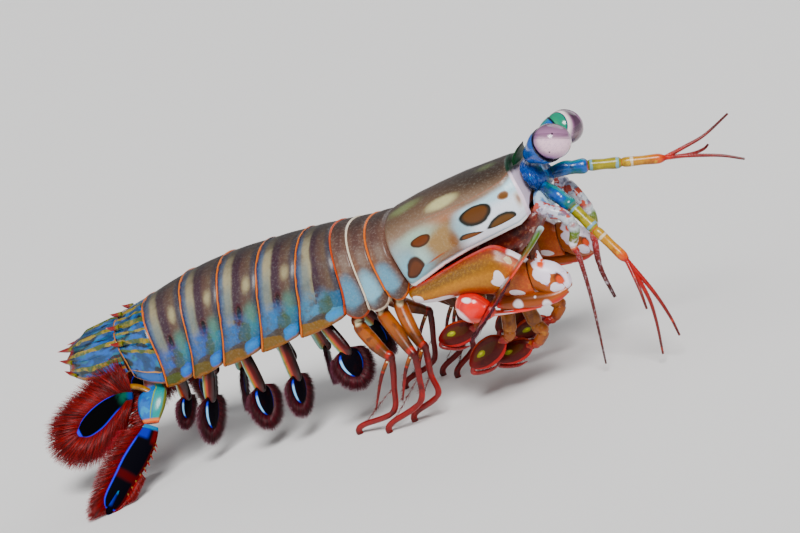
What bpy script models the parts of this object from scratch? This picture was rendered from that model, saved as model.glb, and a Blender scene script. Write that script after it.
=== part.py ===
"""A peacock mantis shrimp, life size, standing with its tail fan and walking legs on a flat floor.

Metres, +Z up, +X towards the head, the animal's left side towards +Y. The floor is z = 0.
"""

import math

import bmesh
import bpy
from mathutils import Matrix, Vector

# Driving dimensions of the animal and of the way that it is divided
GAP = 0.0003
BODY_HALF_WIDTH = 0.0158
FLOOR_Z = 0.0
FOOT_RADIUS = 0.0011
FOOT_HEIGHT = 0.0012
EYE_RADIUS = 0.0050
FRINGE_COUNTS = {"inner": 10, "outer": 8, "scale": 4, "swimming": 7, "last": 5}
MODEL_CENTRE = Vector((-0.0069, 0.0, 0.0))

# Body joints from the carapace to the telson: top x and z, lower edge x and z, half width, forward bow
JOINTS = (
    ((0.0022, 0.0534), (0.0062, 0.0335), 0.0158, 0.0004),
    ((-0.0033, 0.0532), (0.0004, 0.0325), 0.0158, 0.0006),
    ((-0.0088, 0.0535), (-0.0062, 0.0306), 0.0158, 0.0014),
    ((-0.0134, 0.0538), (-0.0132, 0.0310), 0.0158, 0.0020),
    ((-0.0226, 0.0541), (-0.0272, 0.0292), 0.0160, 0.0012),
    ((-0.0347, 0.0539), (-0.0395, 0.0279), 0.0160, 0.0015),
    ((-0.0474, 0.0533), (-0.0518, 0.0265), 0.0158, 0.0019),
    ((-0.0606, 0.0512), (-0.0618, 0.0251), 0.0154, 0.0023),
    ((-0.0744, 0.0474), (-0.0712, 0.0242), 0.0145, 0.0024),
    ((-0.0844, 0.0448), (-0.0802, 0.0288), 0.0134, 0.0010),
)
SEGMENT_NAMES = (
    "thorax_6",
    "thorax_7",
    "thorax_8",
    "abdomen_1",
    "abdomen_2",
    "abdomen_3",
    "abdomen_4",
    "abdomen_5",
    "abdomen_6",
)
# Share of a segment's length, and its girth there: tucked in at the front, with a raised rim at the rear
SEGMENT_GIRTHS = ((0.12, 1.0), (0.5, 1.012), (0.9, 1.006), (0.925, 1.034), (1.0, 1.034))
FRONT_GIRTH = 0.965
WIDEST_HEIGHT = 0.45
STERNUM_HEIGHT = 0.15
PLEURON_WALL = 0.0019

COLOURS = {
    "tergite": ((0.30, 0.24, 0.24), 0.35),
    "carapace": ((0.52, 0.44, 0.38), 0.3),
    "tail": ((0.02, 0.25, 0.42), 0.3),
    "claw": ((0.72, 0.33, 0.03), 0.25),
    "club": ((0.85, 0.06, 0.03), 0.2),
    "limb": ((0.42, 0.03, 0.02), 0.35),
    "paddle": ((0.12, 0.01, 0.04), 0.4),
    "feeler": ((0.60, 0.35, 0.02), 0.3),
    "speckled": ((0.78, 0.62, 0.52), 0.3),
    "head": ((0.02, 0.20, 0.48), 0.3),
    "eye": ((0.62, 0.45, 0.58), 0.1),
    "underside": ((0.72, 0.48, 0.36), 0.4),
}


def material(name):
    """The named Principled material, made on first use."""
    found = bpy.data.materials.get(name)
    if found:
        return found
    colour, roughness = COLOURS[name]
    made = bpy.data.materials.new(name)
    made.use_nodes = True
    shader = made.node_tree.nodes["Principled BSDF"]
    shader.inputs["Base Color"].default_value = (*colour, 1.0)
    shader.inputs["Roughness"].default_value = roughness
    made.diffuse_color = (*colour, 1.0)
    return made


def mesh_object(name, points, faces, finish):
    """One object from points and faces, with its normals turned outwards."""
    mesh = bpy.data.meshes.new(name)
    mesh.from_pydata([Vector(p) - MODEL_CENTRE for p in points], [], faces)
    shape = bmesh.new()
    shape.from_mesh(mesh)
    bmesh.ops.remove_doubles(shape, verts=shape.verts, dist=1e-6)
    bmesh.ops.recalc_face_normals(shape, faces=shape.faces)
    shape.to_mesh(mesh)
    shape.free()
    mesh.shade_smooth()
    mesh.set_sharp_from_angle(angle=math.radians(40))
    made = bpy.data.objects.new(name, mesh)
    bpy.context.scene.collection.objects.link(made)
    mesh.materials.append(material(finish))
    return made


def keep_largest(made):
    """Keeps only the closed surface of the largest volume."""
    shape = bmesh.new()
    shape.from_mesh(made.data)
    left = set(shape.faces)
    shells = []
    while left:
        shell = set()
        edge = [left.pop()]
        while edge:
            face = edge.pop()
            shell.add(face)
            for side in face.edges:
                for other in side.link_faces:
                    if other in left:
                        left.discard(other)
                        edge.append(other)
        shells.append(shell)
    if len(shells) > 1:
        sizes = []
        for shell in shells:
            volume = sum(f.calc_center_median().dot(f.normal) * f.calc_area() for f in shell)
            sizes.append(abs(volume))
        best = shells[sizes.index(max(sizes))]
        bmesh.ops.delete(shape, geom=[f for f in shape.faces if f not in best], context="FACES")
    shape.to_mesh(made.data)
    shape.free()


def fuse(name, pieces, finish, solver="EXACT"):
    """Joins closed pieces into one closed object by a Boolean union on a collection."""
    body, others = pieces[0], pieces[1:]
    body.name = name
    body.data.name = name
    if others:
        group = bpy.data.collections.new(name + "_parts")
        bpy.context.scene.collection.children.link(group)
        for piece in others:
            bpy.context.scene.collection.objects.unlink(piece)
            group.objects.link(piece)
        union = body.modifiers.new("join", "BOOLEAN")
        union.operation = "UNION"
        union.operand_type = "COLLECTION"
        union.collection = group
        union.solver = solver
        bpy.context.view_layer.objects.active = body
        bpy.ops.object.modifier_apply(modifier=union.name)
        for piece in list(group.objects):
            bpy.data.objects.remove(piece)
        bpy.data.collections.remove(group)
        keep_largest(body)
        body.data.materials.clear()
        body.data.materials.append(material(finish))
        body.data.set_sharp_from_angle(angle=math.radians(40))
    return body


def loft(name, rings, finish, caps=None):
    """A closed skin through rings of equal count. caps gives the end faces as lists of ring positions."""
    count = len(rings[0])
    points = [p for ring in rings for p in ring]
    faces = []
    for r in range(len(rings) - 1):
        for k in range(count):
            a, b = r * count + k, r * count + (k + 1) % count
            faces.append((a, b, b + count, a + count))
    last = (len(rings) - 1) * count
    for cap in caps or [range(count)]:
        faces.append(tuple(cap))
        faces.append(tuple(last + k for k in reversed(tuple(cap))))
    return mesh_object(name, points, faces, finish)


def along(points, steps):
    """Points of a smooth curve through the given points, steps to each stretch."""
    line = [Vector(p) for p in points]
    ends = [line[0] * 2 - line[1], *line, line[-1] * 2 - line[-2]]
    found = []
    for k in range(1, len(ends) - 2):
        a, b, c, d = ends[k - 1 : k + 3]
        for step in range(steps):
            t = step / steps
            found.append(
                0.5
                * (
                    2 * b
                    + (c - a) * t
                    + (2 * a - 5 * b + 4 * c - d) * t * t
                    + (3 * b - 3 * c + d - a) * t**3
                )
            )
    return found + [line[-1]]


def spread(values, steps):
    """Values filled in evenly, steps to each stretch, to go with along."""
    found = []
    for a, b in zip(values, values[1:]):
        found += [a + (b - a) * k / steps for k in range(steps)]
    return found + [values[-1]]


def tube(name, points, radii, finish, sides=8, flat=1.0, across=(0, 1, 0), steps=1):
    """A limb of round or oval section. flat is its depth over its width, which runs near across."""
    line = along(points, steps)
    widths = spread(radii, steps)
    rings = []
    for k, p in enumerate(line):
        ahead = (line[min(k + 1, len(line) - 1)] - line[max(k - 1, 0)]).normalized()
        wide = Vector(across) - ahead * ahead.dot(Vector(across))
        wide = wide.normalized()
        deep = ahead.cross(wide)
        turn = [2 * math.pi * (s + 0.5) / sides for s in range(sides)]
        half, depth = wide * widths[k], deep * widths[k] * flat
        rings.append([p + half * math.cos(a) + depth * math.sin(a) for a in turn])
    return loft(name, rings, finish)


def blade(name, points, half_widths, across, thickness, finish, rows=6):
    """A flat plate with thin edges along a line of points. thickness is one size, or one for each point."""
    line = [Vector(p) for p in points]
    depths = thickness if isinstance(thickness, tuple) else (thickness,) * len(line)
    rings = []
    for k, p in enumerate(line):
        ahead = (line[min(k + 1, len(line) - 1)] - line[max(k - 1, 0)]).normalized()
        wide = (Vector(across) - ahead * ahead.dot(Vector(across))).normalized()
        deep = ahead.cross(wide)
        turn = [2 * math.pi * s / rows for s in range(rows)]
        rings.append(
            [p + wide * half_widths[k] * math.cos(a) + deep * depths[k] * 0.5 * math.sin(a) for a in turn]
        )
    return loft(name, rings, finish)


def edge_point(points, half_widths, across, share, side):
    """A point on a blade's edge, and the direction that a fringe takes there."""
    line = [Vector(p) for p in points]
    place = share * (len(line) - 1)
    k = min(int(place), len(line) - 2)
    t = place - k
    p = line[k].lerp(line[k + 1], t)
    ahead = (line[k + 1] - line[k]).normalized()
    wide = (Vector(across) - ahead * ahead.dot(Vector(across))).normalized()
    width = half_widths[k] + (half_widths[k + 1] - half_widths[k]) * t
    return p + wide * side * width, ahead, wide * side


def vane(root, tip, root_width, width, face, finish):
    """A flat lock of bristles: it leaves its root narrow, widens past its middle and ends in a blunt tip."""
    ahead = (tip - root).normalized()
    deep = (face - ahead * ahead.dot(face)).normalized()
    wide = ahead.cross(deep)
    stations = (
        (0.0, root_width, 0.0008),
        (0.62, width, 0.0007),
        (1.0, width * 0.3, 0.0003),
    )
    rings = []
    for share, across, thickness in stations:
        p = root.lerp(tip, share)
        half, depth = wide * across * 0.5, deep * thickness * 0.5
        ring = [p + half, p + depth, p - half, p - depth]
        rings.append([Vector((q.x, q.y, max(q.z, FLOOR_Z + VANE_CLEAR))) for q in ring])
    return loft("vane", rings, finish)


def fringe(points, half_widths, across, count, length, finish, start=0.35, other_start=0.35, short=1.0):
    """Overlapping locks of bristles round the far end of a blade, rooted inside it.

    The first side is the one that across points to. short is the length on the other one.
    """
    line = [Vector(p) for p in points]
    ahead = (line[-1] - line[-2]).normalized()
    wide = (Vector(across) - ahead * ahead.dot(Vector(across))).normalized()
    face = ahead.cross(wide)
    roots = []
    tips = []
    for k in range(count):
        turn = -1 + 2 * k / (count - 1)
        side = math.copysign(1, turn)
        first = start if turn > 0 else other_start
        share = 1 - (1 - first) * abs(turn) ** 1.3
        p, ahead_here, out = edge_point(points, half_widths, across, share, side)
        p = p.lerp(p - out * half_widths[-2], max(0.0, 1 - abs(turn) * 2.5))
        lean = (ahead_here * (1.15 - 0.6 * abs(turn)) + out * (0.12 + 0.75 * abs(turn))).normalized()
        reach = length * (1 + (short - 1) * max(0.0, -turn)) * (1 + 0.05 * math.sin(5.1 * k))
        tip = p + lean * reach
        tip.z = max(tip.z, FLOOR_Z + FRINGE_CLEAR)
        roots.append(p - lean * 0.0014)
        tips.append(tip)
    locks = []
    for k, (root, tip) in enumerate(zip(roots, tips)):
        near = max(k, 1)
        root_width = (roots[near] - roots[near - 1]).length * 1.1
        width = (tips[near] - tips[near - 1]).length * 1.15
        tilted = Matrix.Rotation(math.radians(7 * (-1) ** k), 3, ahead) @ face
        locks.append(vane(root, tip, max(root_width, 0.0012), min(width, 0.0040), tilted, finish))
    return locks


def mirrored(points, side):
    """Points given for the right side, taken to the side asked for: -1 is right and 1 is left."""
    return [Vector((p[0], -p[1] * side, p[2])) for p in points]


def section(joint, girth=1.0):
    """The outline of the body at a joint: over the back from the right, then round the recess below."""
    (top_x, top_z), (low_x, low_z), half_width, bow = joint
    arch = [math.radians(a) for a in (15, 30, 45, 60, 75, 90)]
    side = [(math.sin(a) ** 0.92, WIDEST_HEIGHT + (1 - WIDEST_HEIGHT) * math.cos(a)) for a in arch]
    side += [(0.995, STERNUM_HEIGHT + 0.06), (0.975, 0.13), (0.93, 0.0)]
    wall = PLEURON_WALL / half_width
    inner = [(0.93 - wall, 0.0), (0.96 - wall, STERNUM_HEIGHT)]
    half = side + inner
    outline = [(0.0, 1.0), *half, (0.0, STERNUM_HEIGHT), *[(-y, h) for y, h in reversed(half)]]
    ring = []
    for y, h in outline:
        h_here = WIDEST_HEIGHT + (h - WIDEST_HEIGHT) * girth
        x = low_x + (top_x - low_x) * h_here + bow * 4 * h_here * (1 - h_here)
        z = low_z + (top_z - low_z) * h_here
        ring.append(Vector((x, -y * half_width * girth, z)))
    return ring


def section_caps():
    """End faces of a section, in matched rows, so that two neighbours' ends lie parallel."""
    caps = [(0, 1, 23)]
    caps += [(k, k + 1, 23 - k, 24 - k) for k in range(1, 6)]
    caps.append((6, 7, 11, 12, 13, 17, 18))
    caps += [(7, 8, 9, 10, 11), (13, 14, 15, 16, 17)]
    return caps


def between(front, rear, share):
    """A joint's values part way from one joint to the next."""

    def mix(a, b):
        return a + (b - a) * share

    return (
        (mix(front[0][0], rear[0][0]), mix(front[0][1], rear[0][1])),
        (mix(front[1][0], rear[1][0]), mix(front[1][1], rear[1][1])),
        mix(front[2], rear[2]),
        mix(front[3], rear[3]),
    )


def body_segment(name, front, rear, finish="tergite"):
    """One ring of the armoured body, from just behind the joint in front to its own raised rear rim."""
    top_run = math.dist(front[0], rear[0])
    low_run = math.dist(front[1], rear[1])
    start = 1.6 * GAP / min(top_run, low_run)
    rings = [section(between(front, rear, start), FRONT_GIRTH)]
    for share, girth in SEGMENT_GIRTHS:
        rings.append(section(between(front, rear, max(share, start + 0.02)), girth))
    return loft(name, rings, finish, section_caps())


def surface_point(front, rear, share, angle, lift=0.0):
    """A point on a segment's back, at an angle in degrees from the midline, lifted outwards."""
    (top_x, top_z), (low_x, low_z), half_width, bow = between(front, rear, share)
    a = math.radians(angle)
    h = WIDEST_HEIGHT + (1 - WIDEST_HEIGHT) * math.cos(a)
    y = math.copysign(abs(math.sin(a)) ** 0.92, a) * (half_width + lift)
    x = low_x + (top_x - low_x) * h + bow * 4 * h * (1 - h)
    z = low_z + (top_z - low_z) * h + lift * math.cos(a)
    return Vector((x, y, z))


def sixth_abdominal_segment(front, rear):
    """The last ring, with ridges that run back into spines over the telson's root."""
    pieces = [body_segment("abdomen_6", front, rear, "tail")]
    for angle, length in ((14, 0.0010), (42, 0.0010), (70, 0.0012)):
        for side in (-1, 1):
            start = surface_point(front, rear, 0.2, side * angle, -0.0006)
            middle = surface_point(front, rear, 0.65, side * angle, 0.0003)
            end = surface_point(front, rear, 0.97, side * angle, 0.0009)
            tip = end + (end - middle).normalized() * length + Vector((0, 0, 0.0006))
            radii = (0.0004, 0.0010, 0.0011, 0.0002)
            pieces.append(tube("ridge", (start, middle, end, tip), radii, "tail", 5))
    return fuse("abdomen_6", pieces, "tail")


# The telson: a domed plate that runs back and down from the sixth segment
TELSON_ROOT = Vector((-0.0840, 0.0, 0.0436))
TELSON_PITCH = math.radians(10)
TELSON_LENGTH = 0.0186
TELSON_BACK = Vector((-math.cos(TELSON_PITCH), 0.0, -math.sin(TELSON_PITCH)))
TELSON_UP = Vector((-math.sin(TELSON_PITCH), 0.0, math.cos(TELSON_PITCH)))
# Share of the length, half width, drop of the edges, thickness
TELSON_STATIONS = (
    (0.0, 0.0122, 0.0120, 0.0030),
    (0.25, 0.0126, 0.0120, 0.0034),
    (0.55, 0.0122, 0.0112, 0.0032),
    (0.8, 0.0110, 0.0098, 0.0026),
    (1.0, 0.0090, 0.0080, 0.0016),
)


def telson_point(share, sideways, lift=0.0):
    """A point of the telson's back: share along its length, sideways from -1 to 1 across it."""
    stations = TELSON_STATIONS
    k = max(i for i in range(len(stations) - 1) if stations[i][0] <= max(share, 0)) if share < 1 else 3
    a, b = stations[k], stations[k + 1]
    t = (share - a[0]) / (b[0] - a[0])
    half_width = a[1] + (b[1] - a[1]) * t
    drop = a[2] + (b[2] - a[2]) * t
    base = TELSON_ROOT + TELSON_BACK * TELSON_LENGTH * share
    down = drop * (1 - math.cos(sideways * math.pi / 2))
    return base + Vector((0, half_width * math.sin(sideways * math.pi / 2), 0)) + TELSON_UP * (lift - down)


def telson():
    """The tail plate with its crests and its six marginal teeth."""
    rings = []
    for share, _, _, thickness in TELSON_STATIONS:
        over = [-1 + 0.25 * k for k in range(9)]
        ring = [telson_point(share, s) for s in over]
        ring += [telson_point(share, s, -thickness * (1 - 0.55 * s * s)) for s in reversed(over[1:-1])]
        rings.append(ring)
    caps = [(0, 1, 15), *[(k, k + 1, 15 - k, 16 - k) for k in range(1, 7)], (7, 8, 9)]
    pieces = [loft("telson", rings, "tail", caps)]
    crests = (
        (0.0, 0.06, 0.92, 0.0013),
        (0.3, 0.10, 0.86, 0.0010),
        (0.56, 0.10, 0.95, 0.0011),
        (0.84, 0.06, 0.95, 0.0010),
    )
    for sideways, start, end, height in crests:
        for side in (-1, 1) if sideways else (1,):
            line = [telson_point(start + (end - start) * k / 3, side * sideways, -0.0003) for k in range(4)]
            pieces.append(tube("crest", line, (0.0004, height, height, 0.0003), "tail", 4))
    teeth = ((0.30, 0.0050, 0.0018), (0.62, 0.0042, 0.0016), (0.90, 0.0034, 0.0013))
    for sideways, length, radius in teeth:
        for side in (-1, 1):
            root = telson_point(0.86, side * sideways, -0.0010)
            edge = telson_point(1.0, side * sideways, -0.0007)
            tip = edge + (edge - root).normalized() * length
            pieces.append(tube("tooth", (root, edge, tip), (radius, radius, 0.0002), "tail", 6, 0.6))
    return fuse("telson", pieces, "tail")


# Carapace: share of its length, top (x, z), lower edge (x, z), half width, forward bow
CARAPACE_STATIONS = (
    ((0.0030, 0.0536), (0.0072, 0.0358), 0.0166, 0.0002),
    ((0.0040, 0.0540), (0.0086, 0.0357), 0.0170, 0.0004),
    ((0.0105, 0.0556), (0.0128, 0.0372), 0.0168, 0.0002),
    ((0.0175, 0.0569), (0.0180, 0.0392), 0.0162, 0.0000),
    ((0.0245, 0.0580), (0.0250, 0.0410), 0.0152, 0.0000),
    ((0.0310, 0.0587), (0.0325, 0.0424), 0.0140, 0.0004),
    ((0.0360, 0.0592), (0.0392, 0.0436), 0.0126, 0.0010),
    ((0.0385, 0.0594), (0.0420, 0.0452), 0.0112, 0.0016),
)


def carapace():
    """The shield over the head and the front of the thorax, with side plates that hang down."""
    rings = []
    for k, joint in enumerate(CARAPACE_STATIONS):
        rings.append(section(joint, 0.975 if k == 0 else 1.0))
    return loft("carapace", rings, "carapace", section_caps())


def rostral_plate():
    """The small plate that stands over the roots of the eyes."""
    points = ((0.0406, 0, 0.0576), (0.0410, 0, 0.0592), (0.0418, 0, 0.0606), (0.0430, 0, 0.0618))
    return blade("rostral_plate", points, (0.0062, 0.0064, 0.0040, 0.0006), (0, 1, 0), 0.0012, "head", 8)


def underside():
    """The soft floor of the front thorax, which carries the mouthparts and claws."""
    stations = (
        (0.0080, 0.0381, 0.0328, 0.0095),
        (0.0160, 0.0408, 0.0324, 0.0100),
        (0.0260, 0.0432, 0.0330, 0.0095),
        (0.0350, 0.0448, 0.0350, 0.0085),
        (0.0400, 0.0458, 0.0382, 0.0074),
        (0.0424, 0.0458, 0.0412, 0.0060),
    )
    rings = []
    for x, top, low, half_width in stations:
        middle, half = (top + low) / 2, (top - low) / 2
        turn = [2 * math.pi * (k + 0.5) / 12 for k in range(12)]
        rings.append(
            [
                (x, half_width * math.cos(a), middle + half * max(-1.0, min(1.0, 1.25 * math.sin(a))))
                for a in turn
            ]
        )
    return loft("thorax_underside", rings, "underside")


def head():
    """The head in front of the carapace: the block that bears the eyes, and the lip below it."""
    stations = (
        (0.0, 0.0064, 0.0042),
        (0.0014, 0.0070, 0.0050),
        (0.0032, 0.0062, 0.0047),
        (0.0048, 0.0040, 0.0032),
    )
    brow = []
    for reach, half_width, half_height in stations:
        ring = []
        for k in range(12):
            a = 2 * math.pi * (k + 0.5) / 12
            z = 0.0522 + half_height * math.sin(a)
            ring.append((0.0427 - 0.42 * max(0.0, z - 0.052) + reach, half_width * math.cos(a), z))
        brow.append(ring)
    lip_stations = (
        (0.0, 0.0070, 0.0034),
        (0.0014, 0.0078, 0.0040),
        (0.0030, 0.0060, 0.0034),
        (0.0042, 0.0030, 0.0020),
    )
    lip = []
    for reach, half_width, half_height in lip_stations:
        turn = [2 * math.pi * (k + 0.5) / 12 for k in range(12)]
        ring = [(0.0428 + reach, half_width * math.cos(a), 0.0460 + half_height * math.sin(a)) for a in turn]
        lip.append(ring)
    return fuse("head", [loft("brow", brow, "head"), loft("lip", lip, "head")], "head")


EYE_ROOT = Vector((0.0446, -0.0036, 0.0585))
EYE_CENTRE = Vector((0.0526, -0.0076, 0.0612))


def eye(side):
    """One stalk and its eyeball, which meet on a flat."""
    root, centre = mirrored((EYE_ROOT, EYE_CENTRE), side)
    ahead = (centre - root).normalized()
    neck = centre - ahead * EYE_RADIUS * 0.45
    label = "left" if side > 0 else "right"
    stalk_line = (root, root.lerp(neck, 0.3), root.lerp(neck, 0.7), neck - ahead * GAP)
    tube(f"eye_stalk_{label}", stalk_line, (0.0021, 0.0030, 0.0043, 0.0046), "head", 12, 1.0, (0, 0, 1))
    turns = (-27, 0, 27, 52, 75, 88)
    line = [centre + ahead * EYE_RADIUS * 0.92 * math.sin(math.radians(a)) for a in turns]
    line[0] = neck
    radii = [EYE_RADIUS * math.cos(math.radians(a)) for a in turns]
    tube(f"eye_{label}", line, radii, "eye", 16, 1.0, (0, 0, 1))


# Feelers, right side as listed and the left one's own pose
ANTENNULE_RIGHT = (
    (0.0482, -0.0056, 0.0482),
    (0.0524, -0.0078, 0.0438),
    (0.0569, -0.0100, 0.0374),
    (0.0627, -0.0120, 0.0285),
)
ANTENNULE_LEFT = (
    (0.0488, 0.0042, 0.0516),
    (0.0555, 0.0060, 0.0503),
    (0.0637, 0.0080, 0.0484),
    (0.0740, 0.0100, 0.0463),
)
FLAGELLA_RIGHT = (
    ((0.0654, -0.0130, 0.0187), (0.0658, -0.0136, 0.0119), (0.0650, -0.0140, 0.0030)),
    ((0.0668, -0.0120, 0.0190), (0.0690, -0.0120, 0.0118), (0.0700, -0.0122, 0.0062)),
    ((0.0645, -0.0150, 0.0215), (0.0652, -0.0166, 0.0160)),
)
FLAGELLA_LEFT = (
    ((0.0798, 0.0110, 0.0475), (0.0853, 0.0130, 0.0488), (0.0921, 0.0150, 0.0522)),
    ((0.0793, 0.0100, 0.0455), (0.0880, 0.0100, 0.0433), (0.0939, 0.0100, 0.0408)),
    ((0.0800, 0.0125, 0.0450), (0.0835, 0.0142, 0.0450), (0.0851, 0.0150, 0.0458)),
)


def antennule(side, stalk, whips):
    """A first feeler: three stout lengths, then three whips."""
    label = "left" if side > 0 else "right"
    pieces = []
    radii = ((0.0019, 0.0017), (0.0015, 0.0013), (0.0013, 0.0011))
    for k, (wide, narrow) in enumerate(radii):
        a, b = Vector(stalk[k]), Vector(stalk[k + 1])
        reach = (b - a).normalized() * 0.0006
        line = (a, a.lerp(b, 0.5), b + reach)
        pieces.append(tube("length", line, (wide, wide * 0.95, narrow * 1.15), "feeler", 8))
    fork = Vector(stalk[3])
    before = fork - (fork - Vector(stalk[2])).normalized() * 0.0012
    for whip in whips:
        line = (before, fork, *whip)
        radii = [0.0008] * 2 + [0.0008 - 0.00045 * (k + 1) / len(whip) for k in range(len(whip))]
        pieces.append(tube("whip", line, radii, "feeler", 5, 1.0, (0, 1, 0), 2))
    return fuse(f"antennule_{label}", pieces, "feeler")


ANTENNA_RIGHT = (
    (0.0444, -0.0098, 0.0466),
    (0.0470, -0.0110, 0.0450),
    (0.0505, -0.0112, 0.0430),
    (0.0522, -0.0113, 0.0390),
    (0.0506, -0.0112, 0.0350),
    (0.0511, -0.0110, 0.0318),
    (0.0508, -0.0110, 0.0199),
    (0.0490, -0.0103, 0.0026),
)
ANTENNA_LEFT = (
    (0.0444, 0.0098, 0.0470),
    (0.0472, 0.0106, 0.0460),
    (0.0505, 0.0092, 0.0410),
    (0.0516, 0.0094, 0.0359),
    (0.0505, 0.0094, 0.0301),
    (0.0497, 0.0092, 0.0224),
    (0.0511, 0.0090, 0.0138),
)
ANTENNA_RADII = (0.0022, 0.0023, 0.0021, 0.0018, 0.0013, 0.0011, 0.0007, 0.0004)


def antenna(side, line):
    """A second feeler: a speckled, curved root and one whip."""
    label = "left" if side > 0 else "right"
    return tube(f"antenna_{label}", line, ANTENNA_RADII[: len(line)], "speckled", 8, 1.0, (0, 1, 0), 2)


SCALE_RIGHT = (
    (0.0448, -0.0142, 0.0418),
    (0.0425, -0.0199, 0.0393),
    (0.0382, -0.0239, 0.0355),
    (0.0346, -0.0247, 0.0324),
    (0.0301, -0.0252, 0.0283),
    (0.0244, -0.0255, 0.0230),
)
SCALE_WIDTHS = (0.0012, 0.0022, 0.0032, 0.0038, 0.0036, 0.0014)


def antennal_scale(side):
    """The oval plate that hangs from the root of the second feeler, seen edge on from the side."""
    label = "left" if side > 0 else "right"
    line = mirrored(SCALE_RIGHT, side)
    across = Vector((0.45, 0.85 * side, 0.2))
    pieces = [blade("plate", line, SCALE_WIDTHS, across, 0.0012, "speckled", 6)]
    pieces += fringe(line, SCALE_WIDTHS, across, FRINGE_COUNTS["scale"], 0.0034, "speckled", 0.75, 0.85, 0.4)
    return fuse(f"antennal_scale_{label}", pieces, "speckled")


# Raptorial claw of the right side: (x, top z, low z, depth across), its middle y per station
MERUS = (
    (0.0058, 0.0346, 0.0326, 0.0010, -0.0136),
    (0.0080, 0.0353, 0.0318, 0.0026, -0.0138),
    (0.0130, 0.0366, 0.0312, 0.0038, -0.0142),
    (0.0200, 0.0387, 0.0309, 0.0044, -0.0150),
    (0.0270, 0.0405, 0.0301, 0.0044, -0.0162),
    (0.0320, 0.0412, 0.0288, 0.0041, -0.0168),
    (0.0356, 0.0392, 0.0280, 0.0037, -0.0168),
    (0.0395, 0.0357, 0.0273, 0.0030, -0.0166),
)
CARPUS = (
    (0.0399, 0.0354, 0.0272, 0.0030, -0.0166),
    (0.0430, 0.0346, 0.0252, 0.0034, -0.0164),
    (0.0462, 0.0328, 0.0250, 0.0030, -0.0160),
    (0.0484, 0.0296, 0.0260, 0.0016, -0.0156),
)
PROPODUS = (
    (0.0474, -0.0168, 0.0258),
    (0.0440, -0.0176, 0.0250),
    (0.0400, -0.0180, 0.0252),
    (0.0350, -0.0182, 0.0260),
    (0.0310, -0.0184, 0.0267),
    (0.0292, -0.0186, 0.0270),
)
PROPODUS_RADII = (0.0009, 0.0014, 0.0015, 0.0015, 0.0016, 0.0012)
CLUB = (
    (0.0190, -0.0190, 0.0290),
    (0.0202, -0.0192, 0.0286),
    (0.0232, -0.0194, 0.0272),
    (0.0262, -0.0194, 0.0258),
    (0.0282, -0.0192, 0.0249),
)
CLUB_RADII = (0.0014, 0.0031, 0.0039, 0.0027, 0.0010)
FINGER = (
    (0.0262, -0.0193, 0.0250),
    (0.0310, -0.0190, 0.0242),
    (0.0360, -0.0186, 0.0236),
    (0.0400, -0.0182, 0.0232),
)
FINGER_RADII = (0.0010, 0.0006, 0.0005, 0.0002)


def claw_part(name, stations, side, finish="claw"):
    """A swollen part of the claw from its side outline."""
    rings = []
    for x, top, low, depth, middle_y in stations:
        middle, half = (top + low) / 2, (top - low) / 2
        turn = [2 * math.pi * (k + 0.5) / 12 for k in range(12)]
        ring = [(x, -(middle_y + depth * math.cos(a)) * side, middle + half * math.sin(a)) for a in turn]
        rings.append(ring)
    return loft(name, rings, finish)


def raptorial_claw(side):
    """The folded smashing claw: arm, wrist and hand, and the club with its finger."""
    label = "left" if side > 0 else "right"
    arm = claw_part("arm", MERUS, side)
    hip_line = mirrored(((0.0120, -0.0102, 0.0345), (0.0130, -0.0140, 0.0344)), side)
    hip = tube("hip", hip_line, (0.0014, 0.0016), "claw", 8, 1.0, (1, 0, 0))
    fuse(f"raptorial_arm_{label}", [arm, hip], "claw")
    wrist = claw_part("wrist", CARPUS, side)
    hand = tube("hand", mirrored(PROPODUS, side), PROPODUS_RADII, "claw", 10, 1.0, (0, 1, 0))
    spur_line = mirrored(((0.0424, -0.0166, 0.0332), (0.0427, -0.0160, 0.0371)), side)
    spur = tube("spur", spur_line, (0.0012, 0.0003), "claw", 6, 1.0, (1, 0, 0))
    fuse(f"raptorial_hand_{label}", [wrist, hand, spur], "claw")
    club = tube("club", mirrored(CLUB, side), CLUB_RADII, "club", 12, 0.78, (0, 0, 1))
    finger = tube("finger", mirrored(FINGER, side), FINGER_RADII, "club", 6, 0.8, (0, 0, 1))
    fuse(f"raptorial_club_{label}", [club, finger], "club")


# Mouthpart arms of the right side: root, elbow and wrist, then the pad from its wrist end to its far end
MAXILLIPEDS = (
    (
        "maxilliped_3",
        (
            (0.0350, -0.0062, 0.0342),
            (0.0335, -0.0098, 0.0250),
            (0.0346, -0.0102, 0.0170),
            (0.0356, -0.0103, 0.0146),
            (0.0330, -0.0098, 0.0118),
        ),
        (
            (0.0316, -0.0096, 0.0120),
            (0.0208, -0.0092, 0.0096),
        ),
        0.0030,
    ),
    (
        "maxilliped_4",
        (
            (0.0280, -0.0072, 0.0322),
            (0.0290, -0.0122, 0.0235),
            (0.0282, -0.0136, 0.0175),
            (0.0270, -0.0138, 0.0162),
        ),
        (
            (0.0262, -0.0138, 0.0160),
            (0.0150, -0.0138, 0.0108),
        ),
        0.0036,
    ),
    (
        "maxilliped_5",
        (
            (0.0200, -0.0072, 0.0322),
            (0.0222, -0.0100, 0.0262),
            (0.0208, -0.0132, 0.0212),
        ),
        (
            (0.0196, -0.0134, 0.0206),
            (0.0088, -0.0132, 0.0194),
        ),
        0.0032,
    ),
)


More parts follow.
